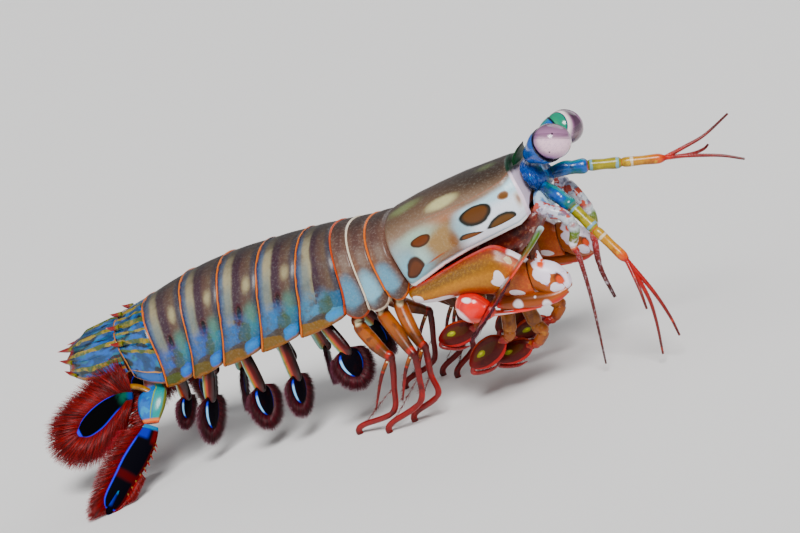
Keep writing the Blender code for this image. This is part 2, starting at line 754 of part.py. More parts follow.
def maxilliped(name, arm, pad, half_width, side):
    """A small folded arm below the mouth that ends in an oval pad and a hooked tip."""
    label = "left" if side > 0 else "right"
    arm = mirrored(arm, side)
    start, end = mirrored(pad, side)
    radii = [0.0015, 0.0018, 0.0019, 0.0017, 0.0013][-len(arm) :]
    limb = tube("limb", (*arm, start.lerp(end, 0.12)), (*radii, 0.0012), "limb", 6, 0.9, (1, 0, 0))
    stations = (0.0, 0.12, 0.35, 0.6, 0.85, 1.0)
    widths = (0.35, 0.75, 1.0, 0.95, 0.6, 0.15)
    down = Vector((0.35, 0.25 * side, -0.9))
    line = [start.lerp(end, t) for t in stations]
    palm = blade("palm", line, [half_width * w for w in widths], down, 0.0024, "limb", 6)
    hook_line = (
        start.lerp(end, 0.86),
        start.lerp(end, 0.97) + Vector((0, 0, -half_width * 0.55)),
        start.lerp(end, 0.55) + Vector((0, 0, -half_width * 1.22)),
        start.lerp(end, 0.25) + Vector((0, 0, -half_width * 1.30)),
    )
    hook = tube("hook", hook_line, (0.0006, 0.0006, 0.0005, 0.0002), "limb", 5, 1.0, (0, 1, 0))
    return fuse(f"{name}_{label}", [palm, limb, hook], "limb")


# Walking legs of the right side: the way down from below the body, and where the foot stands
LEGS = (
    (
        0,
        (
            (0.0012, -0.0110, 0.0318),
            (0.0030, -0.0146, 0.0258),
            (0.0050, -0.0164, 0.0210),
            (0.0060, -0.0166, 0.0192),
            (0.0053, -0.0172, 0.0123),
            (0.0056, -0.0178, 0.0066),
        ),
        (-0.0040, -0.0152),
    ),
    (
        1,
        (
            (-0.0044, -0.0110, 0.0302),
            (-0.0008, -0.0156, 0.0258),
            (0.0026, -0.0192, 0.0210),
            (0.0040, -0.0204, 0.0188),
            (0.0033, -0.0203, 0.0133),
            (0.0014, -0.0206, 0.0066),
        ),
        (-0.0098, -0.0200),
    ),
    (
        2,
        (
            (-0.0118, -0.0112, 0.0288),
            (-0.0080, -0.0150, 0.0236),
            (-0.0046, -0.0176, 0.0204),
            (-0.0033, -0.0180, 0.0190),
            (-0.0050, -0.0185, 0.0117),
            (-0.0075, -0.0190, 0.0050),
        ),
        (-0.0200, -0.0156),
    ),
)
LEG_RADII = (0.0012, 0.0017, 0.0019, 0.0015, 0.0012, 0.0011, 0.0011)
LEFT_FOOT_SHIFT = 0.0036


def sternum_point(segment, share, sideways):
    """A point on the underside plate of a body ring, by its share of the ring's length."""
    (top_x, top_z), (low_x, low_z), _, bow = between(JOINTS[segment], JOINTS[segment + 1], share)
    h = STERNUM_HEIGHT
    x = low_x + (top_x - low_x) * h + bow * 4 * h * (1 - h)
    return Vector((x, sideways, low_z + (top_z - low_z) * h))


def walking_leg(number, segment, path, foot, side):
    """A slender leg with its thin second branch, down to a small flat on the floor."""
    label = "left" if side > 0 else "right"
    root = sternum_point(segment, 0.55, 0.0088 * side) - Vector((0, 0, GAP + 0.0006))
    line = [root, *mirrored(path, side)]
    shift = LEFT_FOOT_SHIFT if side > 0 else 0.0
    foot_x, foot_y = foot[0] + shift, -foot[1] * side
    above = Vector((foot_x, foot_y, FLOOR_Z + FOOT_HEIGHT))
    ankle = line[-1].lerp(above, 0.82) + Vector((0, 0, 0.0006))
    line += [ankle, above, Vector((foot_x, foot_y, FLOOR_Z))]
    radii = [*LEG_RADII, 0.0010, FOOT_RADIUS, FOOT_RADIUS]
    limb = tube("limb", line, radii, "limb", 7, 1.0, (0, 1, 0))
    knee = line[3].lerp(line[4], 0.5)
    drop = line[6] - knee
    branch_line = (
        knee,
        knee + drop * 0.35 + Vector((-0.0026, 0, 0)),
        knee + drop * 0.95 + Vector((-0.0046, 0, 0.0008)),
    )
    branch = tube("branch", branch_line, (0.0006, 0.0005, 0.0003), "limb", 5, 1.0, (0, 1, 0))
    return fuse(f"leg_{number}_{label}", [limb, branch], "limb")


# Height above the floor that the tips of a fringe keep
FRINGE_CLEAR = 0.0022
VANE_CLEAR = 0.0006
# Share of a swimming paddle's length that is plate, with fringe beyond
PADDLE_CORE = 0.74
# Swimming paddles of the right side: ring, stem end, tip of the fringe, half width, turn about the upright
PADDLES = (
    (3, (-0.0176, -0.0120, 0.0222), (-0.0158, -0.0126, 0.0108), 0.0048, 35),
    (4, (-0.0340, -0.0120, 0.0186), (-0.0350, -0.0126, 0.0068), 0.0044, 72),
    (5, (-0.0452, -0.0120, 0.0178), (-0.0452, -0.0126, 0.0054), 0.0044, 62),
    (6, (-0.0606, -0.0120, 0.0182), (-0.0640, -0.0126, 0.0050), 0.0044, 74),
    (7, (-0.0688, -0.0100, 0.0196), (-0.0716, -0.0104, 0.0102), 0.0034, 74),
)


def pleopod(number, segment, stem_end, far_end, half_width, turn, side):
    """A swimming paddle on its flat stem."""
    label = "left" if side > 0 else "right"
    root = sternum_point(segment, 0.80, 0.0100 * side) - Vector((0, 0, GAP + 0.0004))
    middle, end = mirrored((stem_end, far_end), side)
    across = Vector((math.cos(math.radians(turn)), -side * math.sin(math.radians(turn)), 0))
    stem_line = (root, root.lerp(middle, 0.5), middle, middle.lerp(end, 0.25))
    stem = blade("stem", stem_line, (0.0012, 0.0018, 0.0016, 0.0012), (1, 0.3 * side, 0), 0.0024, "paddle", 6)
    stations = (0.0, 0.12, 0.4, 0.7, 0.92, 1.0)
    widths = [half_width * w for w in (0.25, 0.7, 1.0, 0.92, 0.5, 0.12)]
    line = [middle.lerp(end, -0.06 + (PADDLE_CORE + 0.06) * t) for t in stations]
    plate = blade("plate", line, widths, across, 0.0014, "paddle", 6)
    length = (end - middle).length * (1 - PADDLE_CORE)
    count = FRINGE_COUNTS["last" if number == len(PADDLES) else "swimming"]
    locks = fringe(line, widths, across, count, length, "paddle", 0.2, 0.2)
    return fuse(f"pleopod_{number}_{label}", [plate, stem, *locks], "paddle")


# Tail fan of the right side
PROTOPOD = (
    (-0.0774, -0.0094, 0.0293),
    (-0.0768, -0.0110, 0.0242),
    (-0.0764, -0.0140, 0.0226),
    (-0.0768, -0.0166, 0.0196),
    (-0.0770, -0.0184, 0.0166),
)
PROTOPOD_WIDTHS = (0.0018, 0.0032, 0.0043, 0.0039, 0.0022)
PROTOPOD_DEPTHS = (0.0016, 0.0022, 0.0034, 0.0034, 0.0022)
PRONG = (
    (-0.0762, -0.0132, 0.0236),
    (-0.0806, -0.0128, 0.0262),
    (-0.0862, -0.0122, 0.0268),
    (-0.0934, -0.0118, 0.0256),
    (-0.0985, -0.0116, 0.0238),
)
PRONG_RADII = (0.0014, 0.0015, 0.0014, 0.0010, 0.0002)
EXOPOD = (
    (-0.0771, -0.0189, 0.0160),
    (-0.0776, -0.0202, 0.0147),
    (-0.0790, -0.0224, 0.0126),
    (-0.0816, -0.0262, 0.0094),
    (-0.0842, -0.0304, 0.0062),
    (-0.0866, -0.0348, 0.0028),
    (-0.0876, -0.0368, 0.0011),
)
EXOPOD_WIDTHS = (0.0020, 0.0024, 0.0030, 0.0034, 0.0030, 0.0027, 0.0014)
EXOPOD_ACROSS = (-0.62, -0.10, 0.66)
ENDOPOD = (
    (-0.0814, -0.0152, 0.0246),
    (-0.0838, -0.0154, 0.0249),
    (-0.0864, -0.0157, 0.0241),
    (-0.0902, -0.0160, 0.0226),
    (-0.0942, -0.0168, 0.0207),
    (-0.0977, -0.0176, 0.0191),
    (-0.1003, -0.0182, 0.0182),
)
ENDOPOD_WIDTHS = (0.0010, 0.0013, 0.0022, 0.0030, 0.0033, 0.0026, 0.0008)
ENDOPOD_ACROSS = (-0.25, -0.40, -0.85)


def tail_fan(side):
    """The stem below the tail and its two paddles. The outer one stands on the floor with a small flat."""
    label = "left" if side > 0 else "right"
    stem_line = mirrored(PROTOPOD, side)
    stem = blade("stem", stem_line, PROTOPOD_WIDTHS, (1, 0, -0.1), PROTOPOD_DEPTHS, "tail", 10)
    prong = tube("prong", mirrored(PRONG, side), PRONG_RADII, "tail", 6, 0.6, (0, 1, 0))
    fuse(f"uropod_stem_{label}", [stem, prong], "tail")
    line = mirrored(EXOPOD, side)
    across = mirrored((EXOPOD_ACROSS,), side)[0]
    plate = blade("plate", line, EXOPOD_WIDTHS, across, 0.0016, "paddle", 6)
    locks = fringe(line, EXOPOD_WIDTHS, across, FRINGE_COUNTS["outer"], 0.0056, "paddle", 0.3, 0.45, 0.35)
    tip = line[-1]
    toe_line = (
        tip.lerp(line[-3], 0.8),
        tip,
        Vector((tip.x - 0.0002, tip.y, FLOOR_Z + 0.0006)),
        Vector((tip.x - 0.0002, tip.y, FLOOR_Z)),
    )
    toe = tube("toe", toe_line, (0.0006, 0.0009, 0.0010, 0.0010), "paddle", 6, 1.0, (0, 1, 0))
    fuse(f"uropod_outer_{label}", [plate, toe, *locks], "paddle")
    line = mirrored(ENDOPOD, side)
    across = mirrored((ENDOPOD_ACROSS,), side)[0]
    plate = blade("plate", line, ENDOPOD_WIDTHS, across, 0.0016, "paddle", 6)
    locks = fringe(line, ENDOPOD_WIDTHS, across, FRINGE_COUNTS["inner"], 0.0082, "paddle", 0.1, 0.42, 0.8)
    fuse(f"uropod_inner_{label}", [plate, *locks], "paddle")


def main():
    """Builds every node, from the tail to the feelers."""
    for made in list(bpy.data.objects):
        bpy.data.objects.remove(made)
    for name, front, rear in zip(SEGMENT_NAMES[:-1], JOINTS, JOINTS[1:]):
        body_segment(name, front, rear)
    sixth_abdominal_segment(JOINTS[-2], JOINTS[-1])
    telson()
    carapace()
    rostral_plate()
    underside()
    head()
    for side in (-1, 1):
        eye(side)
        antennal_scale(side)
        raptorial_claw(side)
        for name, arm, pad, half_width in MAXILLIPEDS:
            maxilliped(name, arm, pad, half_width, side)
        for number, (segment, path, foot) in enumerate(LEGS, 1):
            walking_leg(number, segment, path, foot, side)
        for number, paddle in enumerate(PADDLES, 1):
            pleopod(number, *paddle, side)
        tail_fan(side)
    antennule(-1, ANTENNULE_RIGHT, FLAGELLA_RIGHT)
    antennule(1, ANTENNULE_LEFT, FLAGELLA_LEFT)
    antenna(-1, ANTENNA_RIGHT)
    antenna(1, ANTENNA_LEFT)


main()
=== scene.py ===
"""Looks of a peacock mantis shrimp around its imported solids: fine shells, patterns and bristles.

Lengths are in metres. The design frame is the one that the solids were drawn in, with the animal's head
towards +X, its left side towards +Y and the floor at z = 0. place() takes a point from it to the frame.
"""

import math
import random

import bpy
from mathutils import Matrix, Vector


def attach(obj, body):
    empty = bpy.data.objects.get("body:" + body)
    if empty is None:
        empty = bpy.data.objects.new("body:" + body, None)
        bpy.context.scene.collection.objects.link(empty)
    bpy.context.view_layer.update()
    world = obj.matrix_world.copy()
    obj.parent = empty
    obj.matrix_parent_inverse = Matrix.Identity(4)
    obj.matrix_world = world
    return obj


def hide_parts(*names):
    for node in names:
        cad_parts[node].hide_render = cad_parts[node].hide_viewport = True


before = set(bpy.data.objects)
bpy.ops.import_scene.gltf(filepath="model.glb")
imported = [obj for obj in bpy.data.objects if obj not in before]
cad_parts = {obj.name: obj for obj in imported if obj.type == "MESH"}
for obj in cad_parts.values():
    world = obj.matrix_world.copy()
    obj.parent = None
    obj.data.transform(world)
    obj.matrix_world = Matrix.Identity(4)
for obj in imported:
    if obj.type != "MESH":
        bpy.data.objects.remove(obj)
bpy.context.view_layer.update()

ORIGIN = Vector((0.0069, 0.0, 0.0))
SKIN_MAP = "skin"
BAKE_MAP = "OFBake"
BAKE_PATCH = 0.003
CREASE = math.radians(50)
THINNEST_LIMB = 0.00008
dice = random.Random(11)


# Shapes in the design frame: smooth curves and the lines that the solids share


def place(point):
    """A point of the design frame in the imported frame, never below the floor."""
    x, y, z = Vector(point) + ORIGIN
    return Vector((x, y, max(z, 0.0)))


def blend(a, b, share):
    """The value part way from a to b."""
    return a + (b - a) * share


def ease(low, high, value):
    """0 below low, 1 above high and a smooth step between."""
    share = max(0.0, min(1.0, (value - low) / (high - low)))
    return share * share * (3 - 2 * share)


def hump(middle, width, value):
    """A smooth hump of height 1 round the middle."""
    return math.exp(-(((value - middle) / width) ** 2))


def smooth_run(points, steps):
    """Points of the smooth curve through all but the first and the last given ones, steps to a stretch."""
    found = []
    for k in range(1, len(points) - 2):
        a, b, c, d = points[k - 1 : k + 3]
        for step in range(steps):
            t = step / steps
            bend = (2 * a - 5 * b + 4 * c - d) * t * t + (3 * b - 3 * c + d - a) * t**3
            found.append((2 * b + (c - a) * t + bend) * 0.5)
    return found


def along(points, steps):
    """Points of a smooth curve through the given points, steps to each stretch."""
    line = [Vector(p) for p in points]
    return [*smooth_run([line[0] * 2 - line[1], *line, line[-1] * 2 - line[-2]], steps), line[-1]]


def spread(values, steps):
    """Values filled in smoothly, steps to each stretch, to go with along."""
    return [p.x for p in along([Vector((v, 0, 0)) for v in values], steps)]


def round_curve(points, steps):
    """A closed smooth curve through the given points."""
    return smooth_run([points[-1], *points, points[0], points[1]], steps)


def circle(count, more=0):
    """Equal turns round a circle, in radians, and more of them past the full circle."""
    return [2 * math.pi * k / count for k in range(count + more)]


def squared(ahead, across):
    """The direction of across, made square to ahead."""
    across = Vector(across)
    return (across - ahead * ahead.dot(across)).normalized()


def axes(line, k, across):
    """Directions at a point of a line: across it and out of its face."""
    ahead = (line[min(k + 1, len(line) - 1)] - line[max(k - 1, 0)]).normalized()
    wide = squared(ahead, across)
    return wide, ahead.cross(wide)


def point_on(line, at):
    """A point of a line, at a place counted in its points."""
    k = min(int(at), len(line) - 2)
    return line[k].lerp(line[k + 1], at - k)


def value_on(values, at):
    """The value of a row of numbers, at a place counted in them."""
    k = min(int(at), len(values) - 2)
    return blend(values[k], values[k + 1], at - k)


def station(stations, at):
    """The numbers of a row of stations, at a place counted in stations."""
    return [value_on(column, at) for column in zip(*stations)]


def mirrored(points, side):
    """Points given for the right side, taken to the side asked for: -1 is right and 1 is left."""
    return [Vector((p[0], -p[1] * side, p[2])) for p in points]


def label(side):
    """The word that ends the name of a paired piece."""
    return "left" if side > 0 else "right"


# Making pieces


def sleeve(name, rings, us=None, vs=None):
    """A closed skin through rings of points, shaped from a grid. Its UV map runs along and round it."""
    rows = len(rings)
    count = len(rings[0])
    columns = count + 1
    us = us or [r / (rows - 1) for r in range(rows)]
    vs = vs or [k / count for k in range(count + 1)]
    bpy.ops.object.select_all(action="DESELECT")
    bpy.ops.mesh.primitive_grid_add(x_subdivisions=columns - 1, y_subdivisions=rows - 1, calc_uvs=True)
    piece = bpy.context.object
    piece.name = name
    mesh = piece.data
    mesh.name = name
    flat = []
    for ring in rings:
        for k in range(columns):
            flat.extend(place(ring[k % count]))
    mesh.vertices.foreach_set("co", flat)
    skin = mesh.uv_layers[0]
    skin.name = SKIN_MAP
    corners = [0] * len(mesh.loops)
    mesh.loops.foreach_get("vertex_index", corners)
    flat = []
    for corner in corners:
        flat.extend((us[corner // columns], vs[corner % columns]))
    skin.data.foreach_set("uv", flat)
    bpy.ops.object.mode_set(mode="EDIT")
    bpy.ops.mesh.select_all(action="SELECT")
    bpy.ops.mesh.remove_doubles(threshold=1e-7)
    bpy.ops.mesh.fill_holes(sides=0)
    bpy.ops.mesh.select_all(action="SELECT")
    bpy.ops.mesh.normals_make_consistent(inside=False)
    bpy.ops.object.mode_set(mode="OBJECT")
    bpy.ops.object.shade_smooth_by_angle(angle=CREASE)
    piece.location = (0, 0, 0)
    return piece


def paint(piece, *finishes):
    """Gives a piece its materials."""
    piece.data.materials.clear()
    for finish in finishes:
        piece.data.materials.append(finish)
    return piece


def gathered(name, pieces):
    """Several painted pieces as one object."""
    bpy.ops.object.select_all(action="DESELECT")
    for piece in pieces:
        piece.select_set(True)
    bpy.context.view_layer.objects.active = pieces[0]
    if len(pieces) > 1:
        bpy.ops.object.join()
    made = bpy.context.view_layer.objects.active
    made.name = name
    made.data.name = name
    return made


def put(piece, *nodes):
    """Sets a finished piece on the animal in place of these nodes."""
    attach(piece, "root")
    if nodes:
        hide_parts(*nodes)
    return piece


def tube(name, points, radii, finish, sides=24, flat=1.0, across=(0, 1, 0), steps=8, joints=(), swell=None):
    """A limb of round or oval section along a smooth curve, nipped in at its joints.

    joints are places along the line, counted in its points. swell(u, v) is a lift, as a share of the radius.
    """
    line = along(points, steps)
    widths = spread(radii, steps)
    rings = []
    for k, p in enumerate(line):
        at = k / steps
        wide, deep = axes(line, k, across)
        size = max(widths[k], THINNEST_LIMB)
        for joint in joints:
            size *= 1 - 0.16 * hump(joint, 0.07, at) + 0.06 * hump(joint - 0.20, 0.12, at)
        ring = []
        for s, a in enumerate(circle(sides)):
            lift = 1 + (swell(at / (len(points) - 1), s / sides) if swell else 0)
            ring.append(p + (wide * math.cos(a) + deep * flat * math.sin(a)) * size * lift)
        rings.append(ring)
    return paint(sleeve(name, rings), finish)


# Finishes: each is a stack of colours laid over each other by soft bands, spots and noise


GRAIN_DEPTH = 0.00012
RICHNESS = 1.18
CONTRAST = 1.26


def tint(code):
    """A hex colour as a linear one, a little richer, because the render's tone curve softens colours."""
    found = []
    for k in (0, 2, 4):
        c = int(code[k : k + 2], 16) / 255
        found.append((c / 12.92 if c <= 0.04045 else ((c + 0.055) / 1.055) ** 2.4) ** CONTRAST)
    grey = 0.2126 * found[0] + 0.7152 * found[1] + 0.0722 * found[2]
    return (*[max(0.0, min(1.0, grey + (c - grey) * RICHNESS)) for c in found], 1.0)


class Finish:
    """One procedural material. Its layers read the piece's own skin map, or Object coordinates."""

    def __init__(self, name, ground="000000"):
        self.made = bpy.data.materials.new(name)
        self.made.use_nodes = True
        self.tree = self.made.node_tree
        self.shader = self.tree.nodes["Principled BSDF"]
        self.map = self.node("ShaderNodeUVMap", uv_map=SKIN_MAP).outputs[0]
        self.space = self.node("ShaderNodeTexCoord").outputs["Object"]
        self.u, self.v, _ = self.split(self.map)
        self.colour = tint(ground)
        self.height = None

    def node(self, kind, **settings):
        made = self.tree.nodes.new(kind)
        for key, value in settings.items():
            setattr(made, key, value)
        return made

    def feed(self, socket, value):
        """Links a socket to another, or sets its value."""
        if isinstance(value, bpy.types.NodeSocket):
            self.tree.links.new(value, socket)
        else:
            socket.default_value = value

    def split(self, vector):
        parts = self.node("ShaderNodeSeparateXYZ")
        self.feed(parts.inputs[0], vector)
        return parts.outputs[0], parts.outputs[1], parts.outputs[2]

    def join(self, x, y, z=0.0):
        made = self.node("ShaderNodeCombineXYZ")
        for socket, value in zip(made.inputs, (x, y, z)):
            self.feed(socket, value)
        return made.outputs[0]

    def sum(self, operation, a, b=0.0):
        """One operation of arithmetic on two values or sockets."""
        made = self.node("ShaderNodeMath", operation=operation)
        self.feed(made.inputs[0], a)
        self.feed(made.inputs[1], b)
        return made.outputs[0]

    def both(self, a, b):
        """One mask held within another."""
        return self.sum("MULTIPLY", a, b)

    def off_middle(self):
        """How far a place lies from the middle of the skin map, across the piece."""
        return self.sum("ABSOLUTE", self.sum("SUBTRACT", self.v, 0.5))

    def noise(self, scale, detail=3.0, vector=None, rough=0.5):
        """Soft noise about 0.5. The scale is in waves to the metre, unless the skin map is given."""
        made = self.node("ShaderNodeTexNoise", noise_dimensions="3D")
        self.feed(made.inputs["Vector"], self.space if vector is None else vector)
        made.inputs["Scale"].default_value = scale
        made.inputs["Detail"].default_value = detail
        made.inputs["Roughness"].default_value = rough
        return made.outputs[0]

    def shake(self, amount, scale, detail=3.0, rough=0.5):
        """Noise that swings evenly about 0."""
        return self.both(self.sum("SUBTRACT", self.noise(scale, detail, rough=rough), 0.5), amount)

    def stretched(self, along_scale, round_scale):
        """The skin map scaled apart along and round the piece, for streaks."""
        made = self.node("ShaderNodeMapping")
        self.feed(made.inputs["Vector"], self.map)
        made.inputs["Scale"].default_value = (along_scale, round_scale, 1.0)
        return made.outputs[0]

    def wobble(self, amount, scale):
        """Shakes the skin map, so that the edges of what follows wander."""
        shift = self.shake(amount, scale)
        other_shift = self.shake(amount, scale * 1.31, 2.0)
        u, v, _ = self.split(self.map)
        self.u = self.sum("ADD", u, shift)
        self.v = self.sum("ADD", v, other_shift)
        self.map = self.join(self.u, self.v)
        return self

    def folded(self):
        """Object coordinates with the left side folded over onto the right."""
        x, y, z = self.split(self.space)
        return self.join(x, self.both(self.sum("ABSOLUTE", y), -1.0), z)

    def ball(self, point, size, soft=0.25, rough=0.3):
        """1 inside a rough ball round a point of the design frame's right side, and its mirror image."""
        made = self.node("ShaderNodeVectorMath", operation="DISTANCE")
        self.feed(made.inputs[0], self.folded())
        made.inputs[1].default_value = place(point)
        gap = self.sum("ADD", made.outputs["Value"], self.shake(rough * size, 0.7 / size, 2.0))
        return self.fall(gap, size * (1 - soft), size * (1 + soft))

    def along(self, centre, direction, size):
        """How far a place lies from a point of the right side in a direction, in sizes."""
        gap = self.node("ShaderNodeVectorMath", operation="SUBTRACT")
        self.feed(gap.inputs[0], self.folded())
        gap.inputs[1].default_value = place(centre)
        made = self.node("ShaderNodeVectorMath", operation="DOT_PRODUCT")
        self.feed(made.inputs[0], gap.outputs[0])
        made.inputs[1].default_value = Vector(direction).normalized() / size
        return made.outputs["Value"]

    def step(self, value, low, high, start=0.0, end=1.0):
        """A smooth step of a value from start to end, between low and high."""
        made = self.node("ShaderNodeMapRange", interpolation_type="SMOOTHSTEP")
        self.feed(made.inputs["Value"], value)
        for socket, number in zip(("From Min", "From Max", "To Min", "To Max"), (low, high, start, end)):
            made.inputs[socket].default_value = number
        return made.outputs[0]

    def fall(self, value, low, high, depth=1.0):
        """A smooth fall of a value from depth to 0, between low and high."""
        return self.step(value, low, high, depth, 0.0)

    def band(self, value, low, high, soft=0.02):
        """1 where the value lies between low and high."""
        rise = self.step(value, low - soft, low + soft)
        return self.both(rise, self.fall(value, high - soft, high + soft))

    def away(self, u, v, half_u, half_v, turn=0.0):
        """Distance from a place on the skin map, in half sizes of an oval."""
        made = self.node("ShaderNodeMapping", vector_type="TEXTURE")
        self.feed(made.inputs["Vector"], self.map)
        made.inputs["Location"].default_value = (u, v, 0)
        made.inputs["Rotation"].default_value = (0, 0, math.radians(turn))
        made.inputs["Scale"].default_value = (half_u, half_v, 1)
        size = self.node("ShaderNodeVectorMath", operation="LENGTH")
        self.feed(size.inputs[0], made.outputs[0])
        return size.outputs["Value"]

    def spot(self, u, v, half_u, half_v, soft=0.15, turn=0.0):
        """1 inside an oval on the skin map."""
        return self.fall(self.away(u, v, half_u, half_v, turn), 1 - soft, 1 + soft)

    def line(self, start, end, width, soft=0.4):
        """1 along a straight line on the skin map."""
        (u0, v0), (u1, v1) = start, end
        length = math.hypot(u1 - u0, v1 - v0)
        turn = math.degrees(math.atan2(v1 - v0, u1 - u0))
        return self.spot((u0 + u1) / 2, (v0 + v1) / 2, length / 2, width, soft, turn)

    def ragged(self, mask, scale, amount):
        """A mask whose edge is torn by noise."""
        return self.step(self.sum("ADD", mask, self.shake(amount, scale, rough=0.6)), 0.38, 0.62)

    def lay(self, code, mask, strength=1.0):
        """Lays a colour, or another stack's colour, over what is there."""
        mix = self.node("ShaderNodeMix", data_type="RGBA")
        share = mask if strength == 1.0 else self.both(mask, strength)
        self.feed(mix.inputs["Factor"], share)
        self.feed(mix.inputs[6], self.colour)
        self.feed(mix.inputs[7], tint(code) if isinstance(code, str) else code)
        self.colour = mix.outputs[2]
        return self

    def ovals(self, *rows):
        """Lays soft ovals, each a colour, its strength and what spot takes."""
        for code, strength, *oval in rows:
            self.lay(code, self.spot(*oval), strength)

    def ramp(self, value, *stops):
        """A colour that runs through the stops, each a place and a hex colour."""
        made = self.node("ShaderNodeValToRGB")
        made.color_ramp.interpolation = "EASE"
        self.feed(made.inputs[0], value)
        points = made.color_ramp.elements
        while len(points) < len(stops):
            points.new(0.5)
        for point, (at, code) in zip(points, stops):
            point.position = at
            point.color = tint(code)
        return made.outputs[0]

    def grain(self, scale, strength):
        """Adds a fine unevenness to the surface."""
        part = self.both(self.noise(scale), strength)
        self.height = part if self.height is None else self.sum("ADD", self.height, part)
        return self

    def mottle(self, dark, light, scale=900.0, strength=0.25):
        """Fine darker and lighter flecks over everything."""
        flecks = self.noise(scale, 4.0, rough=0.7)
        self.lay(dark, self.step(flecks, 0.5, 0.68), strength)
        self.lay(light, self.step(flecks, 0.5, 0.34), strength)
        return self

    def done(self, roughness, coat=0.0, under=0.0, shine=0.35):
        """Links the colour and the unevenness, and sets the gloss."""
        shader = self.shader.inputs
        self.feed(shader["Base Color"], self.colour)
        shader["Roughness"].default_value = roughness
        shader["Specular IOR Level"].default_value = shine
        shader["Coat Weight"].default_value = coat
        shader["Coat Roughness"].default_value = 0.14
        shader["Subsurface Weight"].default_value = under
        shader["Subsurface Radius"].default_value = (1.0, 0.4, 0.25)
        shader["Subsurface Scale"].default_value = 0.0012
        if self.height is not None:
            bump = self.node("ShaderNodeBump")
            bump.inputs["Distance"].default_value = GRAIN_DEPTH
            bump.inputs["Strength"].default_value = 0.6
            self.feed(bump.inputs["Height"], self.height)
            self.feed(shader["Normal"], bump.outputs[0])
        return self.made


RIM = "b4681c"
# RIM_DARK: a dark line in front of a thorax rim, and painted shadow on the rear face of each rim
RIM_DARK = "4a120a"


def abdomen_finish(name, blue, gold, wide_stripe=0.0, spotted=1.0):
    """A ring of the abdomen: soft bands above, ragged blue and olive patches below, an orange rear rim, and
    painted shadow on the rim's rear face and on the front strip that lies under the ring ahead.
    """
    f = Finish(name).wobble(0.07, 240)
    f.colour = f.ramp(
        f.u,
        (0.0, "3c4456"), (0.08, "504c54"), (0.20, "6c5c50"), (0.34, "64504a"), (0.46, "4a3440"),
        (0.58, "4c3842"), (0.67 - wide_stripe, "8a8470"), (0.77, "9c9480"), (0.85, "687484"),
        (0.91, "50607c"), (0.95, "3c4460"),
    )
    f.lay("5c4e4c", f.step(f.noise(190, 3.0, rough=0.6), 0.46, 0.62), 0.45)
    f.lay("b0a88c", f.both(f.spot(0.71 - wide_stripe / 2, 0.36, 0.09, 0.20, 0.6), f.noise(240, 3.0)), 0.9)
    f.lay("38302e", f.fall(f.v, 0.02, 0.34, 0.85))
    f.lay("6e8084", f.both(f.band(f.u, 0.64, 0.84, 0.06), f.band(f.v, 0.42, 0.68, 0.09)), 0.6)
    f.lay("b4ac8c", f.spot(0.25, 0.435, 0.085, 0.055, 0.75), 0.75 * spotted)
    low = f.ragged(f.step(f.v, 0.60, 0.80), 260, 0.7)
    low_bands = f.ramp(
        f.u,
        (0.0, "2c6c94"), (0.20, "2c6c88"), (0.36, "4a6058"),
        (0.52, "5a4c40"), (0.70, "4c6478"), (0.93, "505c6c"),
    )
    f.lay(low_bands, low, 0.85)
    f.ovals(
        ("5c9c90", 0.6 * spotted, 0.22, 0.675, 0.13, 0.070, 1.0),
        ("5c1c0c", 0.75 * spotted, 0.47, 0.640, 0.085, 0.060, 0.5),
        ("100202", spotted, 0.47, 0.635, 0.055, 0.046, 0.3),
    )
    broken = f.step(f.noise(380, 3.0, rough=0.6), 0.30, 0.60)
    f.lay(blue, f.both(f.spot(0.64, 0.745, 0.30, 0.075, 0.9), broken), 0.8)
    f.lay("4c5c30", f.ragged(f.spot(0.40, 0.765, 0.16, 0.06, 0.9), 420, 1.0), 0.6)
    f.lay("54483c", f.ragged(f.spot(0.58, 0.855, 0.26, 0.06, 0.7), 380, 1.0), 0.8)
    f.lay(gold, f.ragged(f.spot(0.82, 0.985, 0.50, 0.110, 0.45), 300, 0.6), 0.95)
    f.lay(blue, f.ragged(f.spot(0.20, 0.890, 0.22, 0.095, 0.45), 380, 0.9))
    f.lay("3c9cdc", f.spot(0.24, 0.90, 0.12, 0.045, 0.9), 0.6)
    f.lay("a8740c", f.band(f.v, 0.972, 1.04, 0.015), 0.8)
    f.mottle("241a1c", "a0a09a", 1500, 0.15)
    f.lay(RIM, f.step(f.u, 0.950, 0.957))
    f.lay("f0a050", f.band(f.u, 0.968, 0.980, 0.006), 0.6)
    # Painted shadow: the rim's rear face, where the next ring tucks under it
    f.lay(RIM_DARK, f.step(f.u, 0.986, 0.994))
    # Painted shadow: the front strip that lies under the rim of the ring ahead
    f.lay("14141c", f.fall(f.u, 0.015, 0.05, 0.8))
    f.lay("5c2c18", f.step(f.v, 1.06, 1.12))
    f.grain(2600, 0.35).grain(700, 0.5)
    return f.done(0.36, 0.06, under=0.05, shine=0.3)


